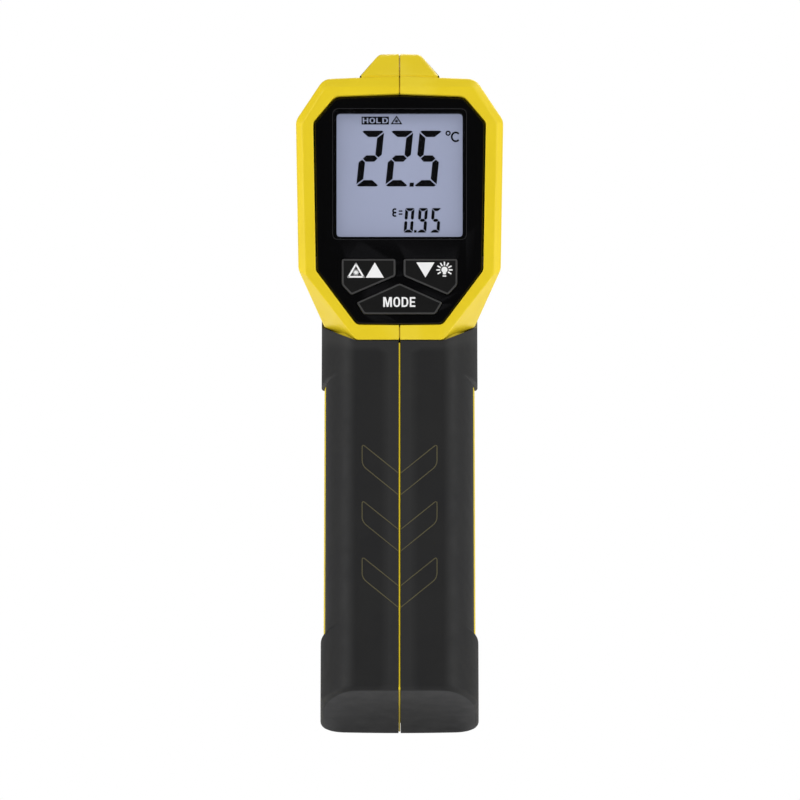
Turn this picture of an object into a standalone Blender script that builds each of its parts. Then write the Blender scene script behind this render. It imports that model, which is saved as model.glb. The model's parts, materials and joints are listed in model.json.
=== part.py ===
"""Infrared thermometer with a pistol grip, built from its separate pieces.

+Z is up and +Y runs towards the muzzle, so the side with the display faces -Y.
The origin is under the middle of the object, level with its lowest edge.
Sizes are in millimetres, and new_solid() turns them into metres.
"""

import math

import bmesh
import bpy
from mathutils import Matrix, Vector

MM = 0.001

# Clearances
gap = 0.3  # between pieces that sit against each other
half_seam = 0.15  # from the middle plane to each housing half
grip_seam = 0.25  # from the middle plane to each grip cover

# Grip
grip_slant = math.radians(16)  # the base lies further back than the head
grip_length = 85.5  # from the base to the chin, along the grip
grip_top = grip_length + 20.5  # end of the grip inside the head
grip_depth = 38.1  # from the back of the grip to the front of its base
grip_back_half = 10.1  # half width of the flat back
grip_side_depth = 18.0  # from the back to where the sides run straight
grip_half_top = 17.6
grip_half_base = 17.9
grip_corner = 6.0  # radius of the front corners
grip_crown = 0.5  # how far the front bulges past its corners
cover_proud = 0.7  # step of the collar and the boot over the grip's sides
cover_thickness = 1.5
core_wall = 2.0
collar_height = 7.3  # from the chin to the lower edge of the collar
collar_reach = 31.0  # from the back to the front edge of the collar
boot_height = 17.1
back_cover_reach = 12.9  # where the back cover ends on the grip's sides
base_wall = 2.0

# Head
face_tilt = math.radians(10)  # the top of the display face leans forwards
face_height = 60.4
face_half_top = 17.9
face_half_side = 22.9
face_half_low = 22.07
face_side_top = 51.7
face_side_low = 15.6
head_half = 24.4
head_wall = 2.0
throat_reach = 40.0  # from the chin to the section above the trigger
barrel_reach = 80.0  # from the chin to the front edge of the yellow housing
nose_length = 11.0
underside_rise = 0.2
ridge_height = 5.25
ridge_half_base = 9.05
ridge_half_top = 4.8
ridge_start = 13.9
ridge_ramp = 7.1

# Display panel, in lengths along the display face
panel_recess = 1.0
panel_thickness = 2.6
panel_lip = 0.7  # flange that the housing halves trap
panel_half_top = 15.5
panel_half_side = 20.0
panel_half_low = 19.4
panel_half_foot = 10.5
panel_top = 58.0
panel_side_top = 52.0
panel_side_low = 16.75
panel_foot = 4.0
view_half = 14.8  # half width of the visible display
view_low = 24.8
view_top = 53.9
window_border = 0.7
window_thickness = 1.2

# Keys
key_rise = 0.3  # above the panel
key_travel = 0.8
key_half_span = 13.56
key_centre_gap = 0.99
key_top = 19.5
key_step = 15.4
key_low = 10.9
key_outer_low = 13.3
mode_peak = 13.7
mode_shoulder = 9.1
mode_foot = 6.3
mode_half_shoulder = 10.1
mode_half_foot = 8.4
key_stem_radius = 1.8

# Display board
board_depth = 9.0  # from the face to the board
board_thickness = 1.6

# Sensor and laser
bore_height = 35.8  # of the sensor's axis above the chin
funnel_mouth = 13.2
funnel_throat = 8.2
tube_radius = 9.6
tube_wall = 1.7
tube_rear = 61.0
lens_clearance = 0.5  # between the lens and the tube
lens_rim = 1.0  # width of the ring that holds the lens
lens_radius = tube_radius - tube_wall - lens_clearance
lens_seat = 2.8  # from the front of the tube to the back of the lens
lens_edge = 1.0  # thickness of the lens at its edge
lens_dome = 4.5  # radius of the flat top of its dome
can_radius = 4.1  # of the sensing element
can_height = 4.3
sensor_board_back = 63.2
sensor_board_thickness = 1.6
laser_height = 59.5
laser_radius = 3.0
laser_rear = 56.0
laser_length = 17.0
laser_hole = 1.8

# Walls inside the housing
rib_reach = 66.0  # from the chin to the rib that holds the sensor tube
shelf_low = -11.0  # underside of the switch shelf

# Trigger
trigger_half_width = 6.9
trigger_pivot = (40.5, 10.8)  # forwards of and above the chin
trigger_boss = 3.2
trigger_slot_low = -21.4
switch_back = 25.0
trigger_slot_back = 29.4  # behind the trigger when it is pulled
pin_radius = 1.0
spring_radius = 2.1
spring_wire = 0.35

# Battery and its door
battery_size = (26.5, 17.5, 46.4)
battery_back = 14.5
battery_base = 19.5
terminal_height = 2.1
snap_thickness = 1.6  # above the terminals
door_half = 14.6
door_top = 70.0
door_thickness = 2.2
door_pin_height = 19.9
knuckle_radius = 2.5
knuckle_half = 10.0

# Screws
screw_shank = 1.3
screw_head = 2.5
screw_head_height = 1.8
screw_seat = 5.0  # from the middle plane to the seat of the head
screw_length = 13.0
boss_radius = 3.2

front_depth = grip_depth - cover_proud  # of the yellow front and the door
grip_wall = cover_thickness + gap + core_wall  # from the grip surface to its hollow
heel_height = grip_depth * math.sin(grip_slant)
chin_back = grip_length * math.sin(grip_slant)  # the chin ahead of the heel
overall_length = chin_back + barrel_reach + nose_length
heel = Vector((0, -overall_length / 2, heel_height))
chin = heel + Vector((0, chin_back, grip_length * math.cos(grip_slant)))

snap_top = battery_base + battery_size[2] + terminal_height + gap + snap_thickness

# Frames: the grip's Y runs to its front and its Z up its length. The display face's Y
# runs up the face and its Z out of it. The head's axes are the object's own.
GRIP = Matrix.Translation(heel) @ Matrix.Rotation(-grip_slant, 4, "X")
FACE = Matrix.Translation(chin) @ Matrix.Rotation(math.pi / 2 - face_tilt, 4, "X")
HEAD = Matrix.Translation(chin)
# A side view's outline is extruded along X.
SIDEWAYS = Matrix(((0, 0, 1, 0), (1, 0, 0, 0), (0, 1, 0, 0), (0, 0, 0, 1)))
HEAD_SIDE = HEAD @ SIDEWAYS
# The barrel's Z runs forwards along the sensor's axis.
BORE = HEAD @ Matrix.Translation((0, 0, bore_height)) @ Matrix.Rotation(-math.pi / 2, 4, "X")
LASER = HEAD @ Matrix.Translation((0, 0, laser_height)) @ Matrix.Rotation(-math.pi / 2, 4, "X")
# An outline across the barrel, with its levels counted backwards.
NOSE = HEAD @ Matrix.Rotation(math.pi / 2, 4, "X")

FINISHES = {
    "yellow_plastic": ((0.78, 0.58, 0.03), 0.42, 0.0),
    "black_rubber": ((0.022, 0.022, 0.023), 0.75, 0.0),
    "gloss_black": ((0.004, 0.004, 0.004), 0.12, 0.0),
    "black_plastic": ((0.015, 0.015, 0.015), 0.5, 0.0),
    "clear": ((0.6, 0.63, 0.66), 0.05, 0.0),
    "display_grey": ((0.34, 0.37, 0.51), 0.2, 0.0),
    "white_plastic": ((0.8, 0.8, 0.78), 0.5, 0.0),
    "grey_rubber": ((0.2, 0.2, 0.2), 0.8, 0.0),
    "board_green": ((0.02, 0.16, 0.06), 0.45, 0.0),
    "steel": ((0.62, 0.62, 0.62), 0.3, 1.0),
    "brass": ((0.75, 0.55, 0.25), 0.3, 1.0),
    "milky_lens": ((0.75, 0.75, 0.72), 0.25, 0.0),
    "red_lead": ((0.5, 0.02, 0.02), 0.5, 0.0),
    "black_lead": ((0.01, 0.01, 0.01), 0.5, 0.0),
    "battery_jacket": ((0.05, 0.1, 0.22), 0.35, 0.0),
}


# Shapes


def new_solid(name, points, faces):
    mesh = bpy.data.meshes.new(name)
    mesh.from_pydata([Vector(point) * MM for point in points], [], faces)
    shell = bmesh.new()
    shell.from_mesh(mesh)
    bmesh.ops.recalc_face_normals(shell, faces=shell.faces)
    # Flat triangles keep every later cut exact where a ring's sides are skewed.
    bmesh.ops.triangulate(shell, faces=shell.faces)
    shell.to_mesh(mesh)
    shell.free()
    solid = bpy.data.objects.new(name, mesh)
    bpy.context.collection.objects.link(solid)
    return solid


def loft(name, rings, closed_ring=False):
    """Joins rings of points. A closed ring joins its last ring to its first."""
    count = len(rings[0])
    points = [point for ring in rings for point in ring]
    total = len(points)
    faces = []
    steps = len(rings) if closed_ring else len(rings) - 1
    for step in range(steps):
        for index in range(count):
            here = step * count + index
            beside = step * count + (index + 1) % count
            faces.append((here, beside, (beside + count) % total, (here + count) % total))
    if not closed_ring:
        faces.append(tuple(range(count)))
        faces.append(tuple(range(total - count, total)))
    return new_solid(name, points, faces)


def prism(name, outline, low, high, frame):
    rings = [[frame @ Vector((a, b, level)) for a, b in outline] for level in (low, high)]
    return loft(name, rings)


def box(name, low, high, frame):
    outline = ((low[0], low[1]), (high[0], low[1]), (high[0], high[1]), (low[0], high[1]))
    return prism(name, outline, low[2], high[2], frame)


def turned(name, profile, frame, sides=24, hollow=False):
    """A profile of (radius, height) turned about the frame's Z."""
    turns = [2 * math.pi * side / sides for side in range(sides)]
    rings = []
    for radius, height in profile:
        ring = [(radius * math.cos(turn), radius * math.sin(turn), height) for turn in turns]
        rings.append([frame @ Vector(point) for point in ring])
    return loft(name, rings, closed_ring=hollow)


def cross_rod(name, radius, start, end, centre, frame, sides=20):
    """A round rod along X, where centre is its place in the side view."""
    along = frame @ Matrix.Translation((0, centre[0], centre[1])) @ SIDEWAYS
    return turned(name, [(radius, start), (radius, end)], along, sides)


def lead(name, points, radius=0.55):
    """A round lead along a smooth curve through the points."""
    curve = bpy.data.curves.new(name, "CURVE")
    curve.dimensions = "3D"
    curve.bevel_depth = radius * MM
    curve.bevel_resolution = 1
    curve.use_fill_caps = True
    smooth = smooth_path(points, 4)
    spline = curve.splines.new("POLY")
    spline.points.add(len(smooth) - 1)
    for spot, point in zip(spline.points, smooth):
        spot.co = (*(point * MM), 1)
    solid = bpy.data.objects.new(name, curve)
    bpy.context.collection.objects.link(solid)
    return solid


def smooth_path(points, steps):
    """Points on a Catmull-Rom curve through the given points."""
    ends = [2 * points[0] - points[1], *points, 2 * points[-1] - points[-2]]
    path = []
    for before, start, end, after in zip(ends, ends[1:], ends[2:], ends[3:]):
        for step in range(steps):
            t = step / steps
            spot = start * 2 + (end - before) * t
            spot += (before * 2 - start * 5 + end * 4 - after) * t**2
            spot += (start * 3 - before - end * 3 + after) * t**3
            path.append(spot / 2)
    return [*path, points[-1]]


def combine(body, operation, tool):
    change = body.modifiers.new(operation, "BOOLEAN")
    change.operation = operation
    change.solver = "EXACT"
    change.object = tool
    graph = bpy.context.evaluated_depsgraph_get()
    result = bpy.data.meshes.new_from_object(body.evaluated_get(graph))
    body.modifiers.clear()
    body.data = result
    bpy.data.objects.remove(tool)


def join(body, *tools):
    for tool in tools:
        combine(body, "UNION", tool)


def cut(body, *tools):
    for tool in tools:
        combine(body, "DIFFERENCE", tool)


def keep_inside(body, *tools):
    for tool in tools:
        combine(body, "INTERSECT", tool)


def inset(outline, distance):
    """The outline moved inwards by the distance, or outwards if it is negative."""
    behind = outline[-1:] + outline[:-1]
    ahead = outline[1:] + outline[:1]
    area = sum(a[0] * b[1] - b[0] * a[1] for a, b in zip(outline, ahead))
    signed = distance if area > 0 else -distance
    moved = []
    for before, here, after in zip(behind, outline, ahead):
        first = Vector((here[0] - before[0], here[1] - before[1])).normalized()
        second = Vector((after[0] - here[0], after[1] - here[1])).normalized()
        inward = Vector((-first.y - second.y, first.x + second.x))
        inward *= signed / (1 + first.dot(second))
        moved.append((here[0] + inward.x, here[1] + inward.y))
    return moved


def mirrored(half):
    """A whole outline from its right half, whose first and last points lie at x = 0."""
    return half + [(-x, y) for x, y in reversed(half[1:-1])]


def finish(solid, look):
    """Gives the piece a material of its own and shades its round faces smooth."""
    colour, roughness, metallic = FINISHES[look]
    material = bpy.data.materials.new(solid.name)
    material.use_nodes = True
    surface = material.node_tree.nodes["Principled BSDF"]
    surface.inputs["Base Color"].default_value = (*colour, 1)
    surface.inputs["Roughness"].default_value = roughness
    surface.inputs["Metallic"].default_value = metallic
    solid.data.materials.clear()
    solid.data.materials.append(material)
    if solid.type == "MESH":
        solid.data.shade_smooth()
        solid.data.set_sharp_from_angle(angle=math.radians(30))
    return solid


def set_origin(solid, place):
    """Moves the object's origin to a place in millimetres and leaves its shape where it is."""
    spot = Vector(place) * MM
    solid.data.transform(Matrix.Translation(-spot))
    solid.location = spot


# Outlines


def grip_half(height):
    return grip_half_base + (grip_half_top - grip_half_base) * height / grip_length


def grip_ring(height, depth=front_depth, shrink=0.0, swell=0.0):
    """One section of the grip: flat back, oval sides, rounded front corners.

    shrink moves the whole outline inwards, and swell moves the sides outwards."""
    side = grip_half(height) - shrink + swell
    corner = grip_corner - shrink
    front = depth - shrink
    side_steps = 5
    corner_steps = 4
    half = [(0, shrink)]
    for step in range(side_steps + 1):
        turn = math.pi / 2 * step / side_steps
        across = grip_back_half + (side - grip_back_half) * math.sin(turn)
        half.append((across, grip_side_depth - (grip_side_depth - shrink) * math.cos(turn)))
    for step in range(corner_steps + 1):
        turn = math.pi / 2 * step / corner_steps
        across = side - corner + corner * math.cos(turn)
        half.append((across, front - grip_crown - corner + corner * math.sin(turn)))
    half.append((0, front))
    return [GRIP @ Vector((x, y, height)) for x, y in mirrored(half)]


def grip_loft(name, low, high, depth=front_depth, shrink=0.0):
    rings = [grip_ring(height, depth, shrink) for height in (low, high)]
    return loft(name, rings)


face_half_outline = [
    (0, face_height),
    (face_half_top - 1.6, face_height),
    (face_half_top, face_height - 0.8),
    (face_half_side, face_side_top),
    (face_half_low, face_side_low),
    (grip_back_half, 0),
    (0, 0),
]
panel_outline = mirrored([
    (0, panel_top + 0.5),
    (panel_half_top - 1.5, panel_top),
    (panel_half_top, panel_top - 0.6),
    (panel_half_side, panel_side_top),
    (panel_half_low, panel_side_low),
    (panel_half_foot, panel_foot + 0.7),
    (panel_half_foot - 1.4, panel_foot),
    (0, panel_foot - 0.1),
])
shoulder_half_ring = [
    (0, 13.6, 62.1),
    (15.6, 13.5, 61.7),
    (18.1, 13.2, 61.1),
    (head_half, 11.1, 51.6),
    (head_half - 0.6, 4.85, 16.5),
    (grip_half_top, 14.0, 14.0 * underside_rise),
    (0, 14.0, 14.0 * underside_rise),
]
throat_outline = mirrored([
    (0, 61.3),
    (14.6, 60.9),
    (17.0, 59.9),
    (23.0, 51.0),
    (22.6, 19.0),
    (15.5, throat_reach * underside_rise),
    (0, throat_reach * underside_rise),
])
front_outline = mirrored([
    (0, 59.0),
    (12.4, 58.6),
    (14.4, 57.6),
    (19.4, 50.5),
    (19.2, 24.5),
    (12.5, 14.5),
    (0, 14.0),
])


def upright_ring(outline, reach):
    """A section of the barrel, square to it."""
    return [HEAD @ Vector((x, reach, z)) for x, z in outline]


def face_ring(outline, depth=0.0):
    return [FACE @ Vector((x, y, -depth)) for x, y in outline]


def shoulder_ring():
    right = shoulder_half_ring
    left = [(-x, y, z) for x, y, z in reversed(right[1:-1])]
    return [HEAD @ Vector(point) for point in right + left]


def ridge_outline(base_height, half_base, half_top, height):
    sunk = 3.0
    return [
        (half_base, base_height - sunk),
        (half_base, base_height),
        (half_top, base_height + height),
        (-half_top, base_height + height),
        (-half_base, base_height),
        (-half_base, base_height - sunk),
    ]


front_ridge = ridge_outline(58.75, ridge_half_base - 1.0, ridge_half_top - 0.6, 5.4)


# Housing


def head_solid():
    rings = [face_ring(mirrored(face_half_outline)), shoulder_ring()]
    rings += [upright_ring(throat_outline, throat_reach)]
    rings += [upright_ring(front_outline, barrel_reach)]
    return loft("head", rings)


def ridge_solid():
    crest = 62.05
    start = ridge_outline(crest, ridge_half_base, ridge_half_base - 0.3, 0.3)
    full = ridge_outline(crest, ridge_half_base, ridge_half_top, ridge_height)
    rings = [upright_ring(start, ridge_start)]
    rings += [upright_ring(full, ridge_start + ridge_ramp)]
    rings += [upright_ring(front_ridge, barrel_reach)]
    return loft("ridge", rings)


def head_cavity():
    rear = inset(mirrored(face_half_outline), 1.2)
    rings = [face_ring(rear, 5.2)]
    rings += [upright_ring(inset(throat_outline, head_wall), throat_reach)]
    rings += [upright_ring(inset(front_outline, head_wall), barrel_reach + 2)]
    return loft("head cavity", rings)


def cover_regions(clearance):
    """Where the grip covers lie: the back, the collar and the boot."""
    wide = grip_half_base + 5
    back = box("back", (-wide, -5, -5), (wide, back_cover_reach + clearance, grip_top), GRIP)
    collar_low = grip_length - collar_height - clearance
    collar_front = collar_reach + clearance
    collar_top = grip_top + 1
    collar = box("collar", (-wide - 1, -6, collar_low), (wide + 1, collar_front, collar_top), GRIP)
    boot = box("boot", (-wide - 2, -7, -6), (wide + 2, 60, boot_height + clearance), GRIP)
    join(back, collar, boot)
    return back


def grip_panels():
    """The yellow grip surface between the covers."""
    panels = grip_loft("panels", 5, grip_top + 0.5)
    cut(panels, cover_regions(gap))
    return panels


# The covers go on after the screws and hide those in the grip.
screw_places = [
    (HEAD, (66.0, 20.0)),
    (HEAD, (44.0, 50.0)),
    (HEAD, (24.0, 12.0)),
    (GRIP, (9.3, 50.0)),
    (GRIP, (25.0, 8.5)),
    (GRIP, (9.3, 8.5)),
]


def screw_bosses():
    bosses = []
    for frame, centre in screw_places:
        half = 21.0 if frame is HEAD else 15.0
        radius = boss_radius if frame is HEAD else boss_radius - 0.4
        bosses.append(cross_rod("boss", radius, -half, half, centre, frame, 14))
    return bosses


def inner_walls():
    """Battery compartment, sensor rib, switch shelf and pivot bosses."""
    wide = 15.0
    low = boot_height - 0.5
    floor = box("floor", (-wide, 3, low), (wide, 32, low + 2), GRIP)
    back = battery_back - 2.5
    partition = box("partition", (-wide, back, low + 1), (wide, back + 1.5, door_top + 2), GRIP)
    rib_half = 20.0
    rib = box("rib", (-rib_half, rib_reach, 16), (rib_half, rib_reach + 2, 57), HEAD)
    before = rib_reach - 6
    after = rib_reach + 9
    bore = [(tube_radius + gap, before), (tube_radius + gap, after)]
    cut(rib, turned("rib bore", bore, BORE))
    cut(rib, box("wire way", (-4, before, 44), (4, after, 60), HEAD))
    shelf = box("shelf", (-wide - 1, 24, shelf_low), (wide + 1, 32, shelf_low + 2.7), HEAD)
    cut(shelf, box("lead way", (-9, 20, shelf_low - 1), (-3.6, 29, shelf_low + 4), HEAD))
    pivot = cross_rod("pivot", pin_radius + 2, -21, 21, trigger_pivot, HEAD, 16)
    return [floor, partition, rib, shelf, pivot]


def door_lugs():
    """The lugs that carry the door's pin."""
    centre = (front_depth - knuckle_radius, door_pin_height)
    lugs = cross_rod("lugs", knuckle_radius - 0.1, -door_half, door_half, centre, GRIP)
    web = knuckle_radius - 0.5
    low = door_pin_height - web
    back = battery_back + battery_size[1] + gap
    join(lugs, box("web", (-16, back, low), (16, centre[0], low + 2 * web), GRIP))
    middle = knuckle_half + gap
    cut(lugs, box("knuckle room", (-middle, 20, 10), (middle, 50, 30), GRIP))
    return lugs


def housing_hollow():
    """All the room inside the housing, with its inner walls and bosses left standing."""
    hollow = head_cavity()
    join(hollow, grip_loft("grip cavity", base_wall + 2.1, grip_top + 2, shrink=grip_wall))
    # The panel's seat: an opening, a groove for its flange and a ledge behind it.
    groove = panel_recess + panel_thickness + gap
    lip = panel_recess + 0.6
    join(hollow, prism("opening", inset(panel_outline, -gap), 1, -lip - 0.1, FACE))
    join(hollow, prism("groove", inset(panel_outline, -gap - panel_lip), -lip, -groove, FACE))
    join(hollow, prism("ledge", inset(panel_outline, 1.2), -lip - 1, -6.5, FACE))
    door_edge = door_half + gap
    opening_low = (-door_edge, 31.0, boot_height)
    join(hollow, box("door opening", opening_low, (door_edge, 50, door_top + gap), GRIP))
    cut(hollow, *inner_walls(), *screw_bosses(), door_lugs())
    return hollow


def housing_solid():
    body = head_solid()
    core = grip_loft("core", base_wall + 0.1, grip_top, shrink=cover_thickness + gap)
    join(body, ridge_solid(), core, grip_panels())
    cut(body, housing_hollow())
    slot = trigger_half_width + 0.4
    slot_low = (-slot, trigger_slot_back, trigger_slot_low)
    cut(body, box("trigger slot", slot_low, (slot, 50.5, 14.5), HEAD))
    pin_hole = pin_radius + gap
    cut(body, cross_rod("pin hole", pin_hole, -11.3, 11.3, trigger_pivot, HEAD, 12))
    door_pin = (front_depth - knuckle_radius, door_pin_height)
    cut(body, cross_rod("door pin hole", pin_hole, -13.8, 13.8, door_pin, GRIP, 12))
    laser_bore = [(laser_radius + gap, laser_rear - 4), (laser_radius + gap, barrel_reach + 2)]
    cut(body, turned("laser bore", laser_bore, LASER, 20))
    for frame, centre in screw_places:
        depth = screw_length - screw_seat + 1
        cut(body, cross_rod("hole", screw_shank + gap, -depth, screw_seat + 1, centre, frame, 12))
        cut(body, cross_rod("well", screw_head + gap, screw_seat, 40, centre, frame, 16))
    return body


def make_housing():
    body = housing_solid()
    for name, low, high in (("left_housing", -60, -half_seam), ("right_housing", half_seam, 60)):
        half = body.copy()
        bpy.context.collection.objects.link(half)
        half.name = name
        half.data = body.data.copy()
        keep_inside(half, box("side", (low, -200, -200), (high, 200, 400), Matrix()))
        finish(half, "yellow_plastic")
    bpy.data.objects.remove(body)


def make_grip_covers():
    step = cover_proud
    collar_low = grip_length - collar_height
    rings = [
        grip_ring(0, grip_depth, swell=step),
        grip_ring(boot_height - step, grip_depth, swell=step),
        grip_ring(boot_height + step / 4, front_depth),
        grip_ring(collar_low - step / 4, front_depth),
        grip_ring(collar_low + step, front_depth, swell=step),
        grip_ring(grip_top + 3, front_depth, swell=step),
    ]
    for name, low, high in (("left_grip", -60, -grip_seam), ("right_grip", grip_seam, 60)):
        cover = loft(name, rings)
        keep_inside(cover, cover_regions(0))
        cut(cover, grip_loft("core", cover_thickness + gap, grip_top + 4, shrink=cover_thickness))
        top = [(-40, -gap - 40 * underside_rise), (60, -gap + 60 * underside_rise)]
        top += [(60, 80), (-40, 80)]
        cut(cover, prism("above", top, -50, 50, HEAD_SIDE))
        keep_inside(cover, box("side", (low, -200, -200), (high, 200, 400), Matrix()))
        finish(cover, "black_rubber")


# Display


def rectangle(half, low, high):
    return [(-half, low), (half, low), (half, high), (-half, high)]


def key_outlines():
    right = [
        (key_centre_gap, key_top),
        (key_centre_gap, key_step),
        (key_half_span - 2.2, key_low),
        (key_half_span, key_outer_low),
        (key_half_span, key_top),
    ]
    left = [(-x, y) for x, y in reversed(right)]
    mode = mirrored([
        (0, mode_peak),
        (mode_half_shoulder, mode_shoulder),
        (mode_half_foot, mode_foot),
        (0, mode_foot),
    ])
    return {"laser_up_key": left, "light_down_key": right, "mode_key": mode}


key_stems = {
    "laser_up_key": (-7.5, 16.5),
    "light_down_key": (7.5, 16.5),
    "mode_key": (0, 9.4),
}


def make_bezel():
    back = panel_recess + panel_thickness
    bezel = prism("display_bezel", panel_outline, -panel_recess, -back, FACE)
    flange = inset(panel_outline, -panel_lip)
    join(bezel, prism("flange", flange, -panel_recess - 0.9, -back, FACE))
    border = window_border + gap
    seat = rectangle(view_half + border, view_low - border, view_top + border)
    seat_depth = panel_recess + 0.15 + window_thickness + gap
    cut(bezel, prism("window seat", seat, 1, -seat_depth, FACE))
    view = rectangle(view_half, view_low, view_top)
    cut(bezel, prism("view", view, 1, -10, FACE))
    for outline in key_outlines().values():
        cut(bezel, prism("key hole", inset(outline, -gap), 1, -10, FACE))
    finish(bezel, "gloss_black")


def make_display():
    edge = window_border
    pane = rectangle(view_half + edge, view_low - edge, view_top + edge)
    front = panel_recess + 0.15
    finish(prism("display_window", pane, -front, -front - window_thickness, FACE), "clear")
    glass = panel_recess + panel_thickness + gap
    cell_half = view_half + 1.0
    cell_low = view_low - 1.6
    cell_top = view_top + 1.1
    cell = rectangle(cell_half, cell_low, cell_top)
    finish(prism("lcd_glass", cell, -glass, -glass - 1.8, FACE), "display_grey")
    behind = glass + 1.8 + gap
    light = rectangle(cell_half, cell_low + 3.0, cell_top)
    finish(prism("lcd_backlight", light, -behind, -behind - 2, FACE), "white_plastic")
    strip = rectangle(view_half - 0.8, cell_low + 0.3, cell_low + 2.5)
    strip_end = board_depth - gap
    finish(prism("lcd_connector_strip", strip, -behind, -strip_end, FACE), "grey_rubber")
    holder = rectangle(cell_half + 1.5, cell_low - 1.5, cell_top + 1.4)
    frame = prism("lcd_frame", holder, -5.5, -strip_end, FACE)
    for side in (-18.0, 18.0):
        spot = FACE @ Matrix.Translation((side, 19.5, 0))
        ear = turned("ear", [(2.2, -5.7), (2.2, -strip_end + 0.2)], spot, 16)
        neck = (min(side, side * 0.9), 19.5, -strip_end + 0.4)
        join(ear, box("neck", neck, (max(side, side * 0.9), 23.5, -5.9), FACE))
        join(frame, ear)
        cut(frame, turned("hole", [(1.2, -6.6), (1.2, -20)], spot, 12))
    cut(frame, prism("inside", inset(cell, -gap), 0, -20, FACE))
    finish(frame, "white_plastic")


board_outline = inset(panel_outline, -0.3)


def make_board():
    back = board_depth + board_thickness
    board = prism("display_board", board_outline, -board_depth, -back, FACE)
    for number, side in enumerate((-18.0, 18.0), 1):
        spot = FACE @ Matrix.Translation((side, 19.5, 0))
        cut(board, turned("hole", [(1.2, 0), (1.2, -20)], spot, 12))
        head = back + gap
        profile = [(0.9, -7.2), (0.9, -head), (1.7, -head), (1.7, -head - 1.2)]
        finish(turned(f"board_screw_{number}", profile, spot, 12), "steel")
    finish(board, "board_green")
    chip = box("controller_chip", (-5, 34, -back - gap - 1.4), (5, 44, -back - gap), FACE)
    finish(chip, "black_plastic")


mat_outline = mirrored([
    (0, key_top + 0.9),
    (key_half_span + 1.0, key_top + 0.9),
    (key_half_span + 1.0, key_outer_low),
    (mode_half_foot + 0.8, mode_foot - 0.5),
    (0, mode_foot - 0.5),
])


def make_keys():
    top = panel_recess - key_rise
    shoulder = panel_recess + panel_thickness + gap
    stem_end = board_depth - gap - key_travel
    mat_low = shoulder + 1.0 + key_travel + gap
    mat = prism("keypad_mat", mat_outline, -mat_low, -board_depth + gap, FACE)
    cut(mat, prism("room", inset(mat_outline, 1.0), -mat_low - 1, -20, FACE))
    for name, outline in key_outlines().items():
        key = prism(name, outline, -top, -shoulder - 0.5, FACE)
        join(key, prism("flange", inset(outline, -0.35), -shoulder, -shoulder - 1, FACE))
        stem = FACE @ Matrix.Translation((*key_stems[name], 0))
        rod = [(key_stem_radius, -top - 1), (key_stem_radius, -stem_end)]
        join(key, turned("stem", rod, stem, 16))
        hole = key_stem_radius + gap
        cut(mat, turned("stem hole", [(hole, 0), (hole, -20)], stem, 16))
        finish(key, "black_plastic")
        set_origin(key, stem @ Vector((0, 0, -top)))
    finish(mat, "grey_rubber")


# Nose, sensor and laser


def make_nose():
    back = barrel_reach + gap
    front = barrel_reach + nose_length
    outlines = [(0.1, back), (0.6, front - 2.2), (2.2, front)]
    cap = loft("nose_cap", [upright_ring(inset(front_outline, d), y) for d, y in outlines])
    join(cap, loft("lobe", [upright_ring(inset(front_ridge, d), y) for d, y in outlines]))
    spigot = head_wall + gap
    outer = upright_ring(inset(front_outline, spigot), barrel_reach - 5)
    join(cap, loft("spigot", [outer, upright_ring(inset(front_outline, spigot), back + 1)]))
    hollow = inset(front_outline, spigot + 1.8)
    cut(cap, prism("hollow", hollow, -barrel_reach - 8.6, -barrel_reach + 6, NOSE))
    throat = barrel_reach - 0.5
    cone = [(funnel_throat + 2.2, throat), (funnel_mouth + 1.2, front - 1.5)]
    join(cap, turned("cone", cone, BORE, 32))
    funnel = [(funnel_throat, throat - 1), (funnel_throat, throat + 1), (funnel_mouth, front + 0.1)]
    cut(cap, turned("funnel", funnel, BORE, 32))
    cut(cap, turned("laser hole", [(laser_hole, 70), (laser_hole, front + 1)], LASER, 20))
    socket = laser_radius + 2 * gap
    cut(cap, turned("laser room", [(socket, 70), (socket, back + 0.5)], LASER, 20))
    finish(cap, "black_plastic")


def make_sensor():
    inner = tube_radius - tube_wall
    front = barrel_reach - 0.5 - gap
    wall = [(inner, tube_rear), (tube_radius, tube_rear), (tube_radius, front), (inner, front)]
    finish(turned("sensor_tube", wall, BORE, 32, hollow=True), "black_plastic")
    back = front - lens_seat
    edge = back + lens_edge
    lens = [(lens_radius, back), (lens_radius, edge), (lens_dome, edge + 0.5)]
    finish(turned("lens", lens, BORE, 32), "milky_lens")
    open_radius = lens_radius - lens_rim
    low = edge + gap
    ring = [(open_radius, low), (lens_radius, low), (lens_radius, front), (open_radius, front)]
    finish(turned("lens_ring", ring, BORE, 32, hollow=True), "black_plastic")
    board_front = sensor_board_back + sensor_board_thickness
    board = [(inner - gap, sensor_board_back), (inner - gap, board_front)]
    finish(turned("sensor_board", board, BORE), "board_green")
    foot = board_front + gap
    can = [
        (can_radius + 0.5, foot),
        (can_radius + 0.5, foot + 0.5),
        (can_radius, foot + 0.5),
        (can_radius, foot + can_height),
    ]
    finish(turned("thermopile", can, BORE), "steel")
    neck = laser_rear + laser_length - 3
    end = laser_rear + laser_length
    body = [(laser_radius, laser_rear), (laser_radius, neck), (2.0, neck), (2.0, end)]
    finish(turned("laser_module", body, LASER, 20), "brass")


# Trigger


trigger_outline = [
    (37.6, 10.8),
    (43.6, 10.8),
    (48.3, 4.8),
    (48.7, 2.5),
    (47.3, -2.5),
    (45.3, -8.0),
    (43.9, -12.5),
    (43.6, -16.0),
    (44.2, -18.4),
    (43.2, -19.8),
    (33.0, -18.6),
    (34.6, -8.0),
    (37.2, 2.0),
]


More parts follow.
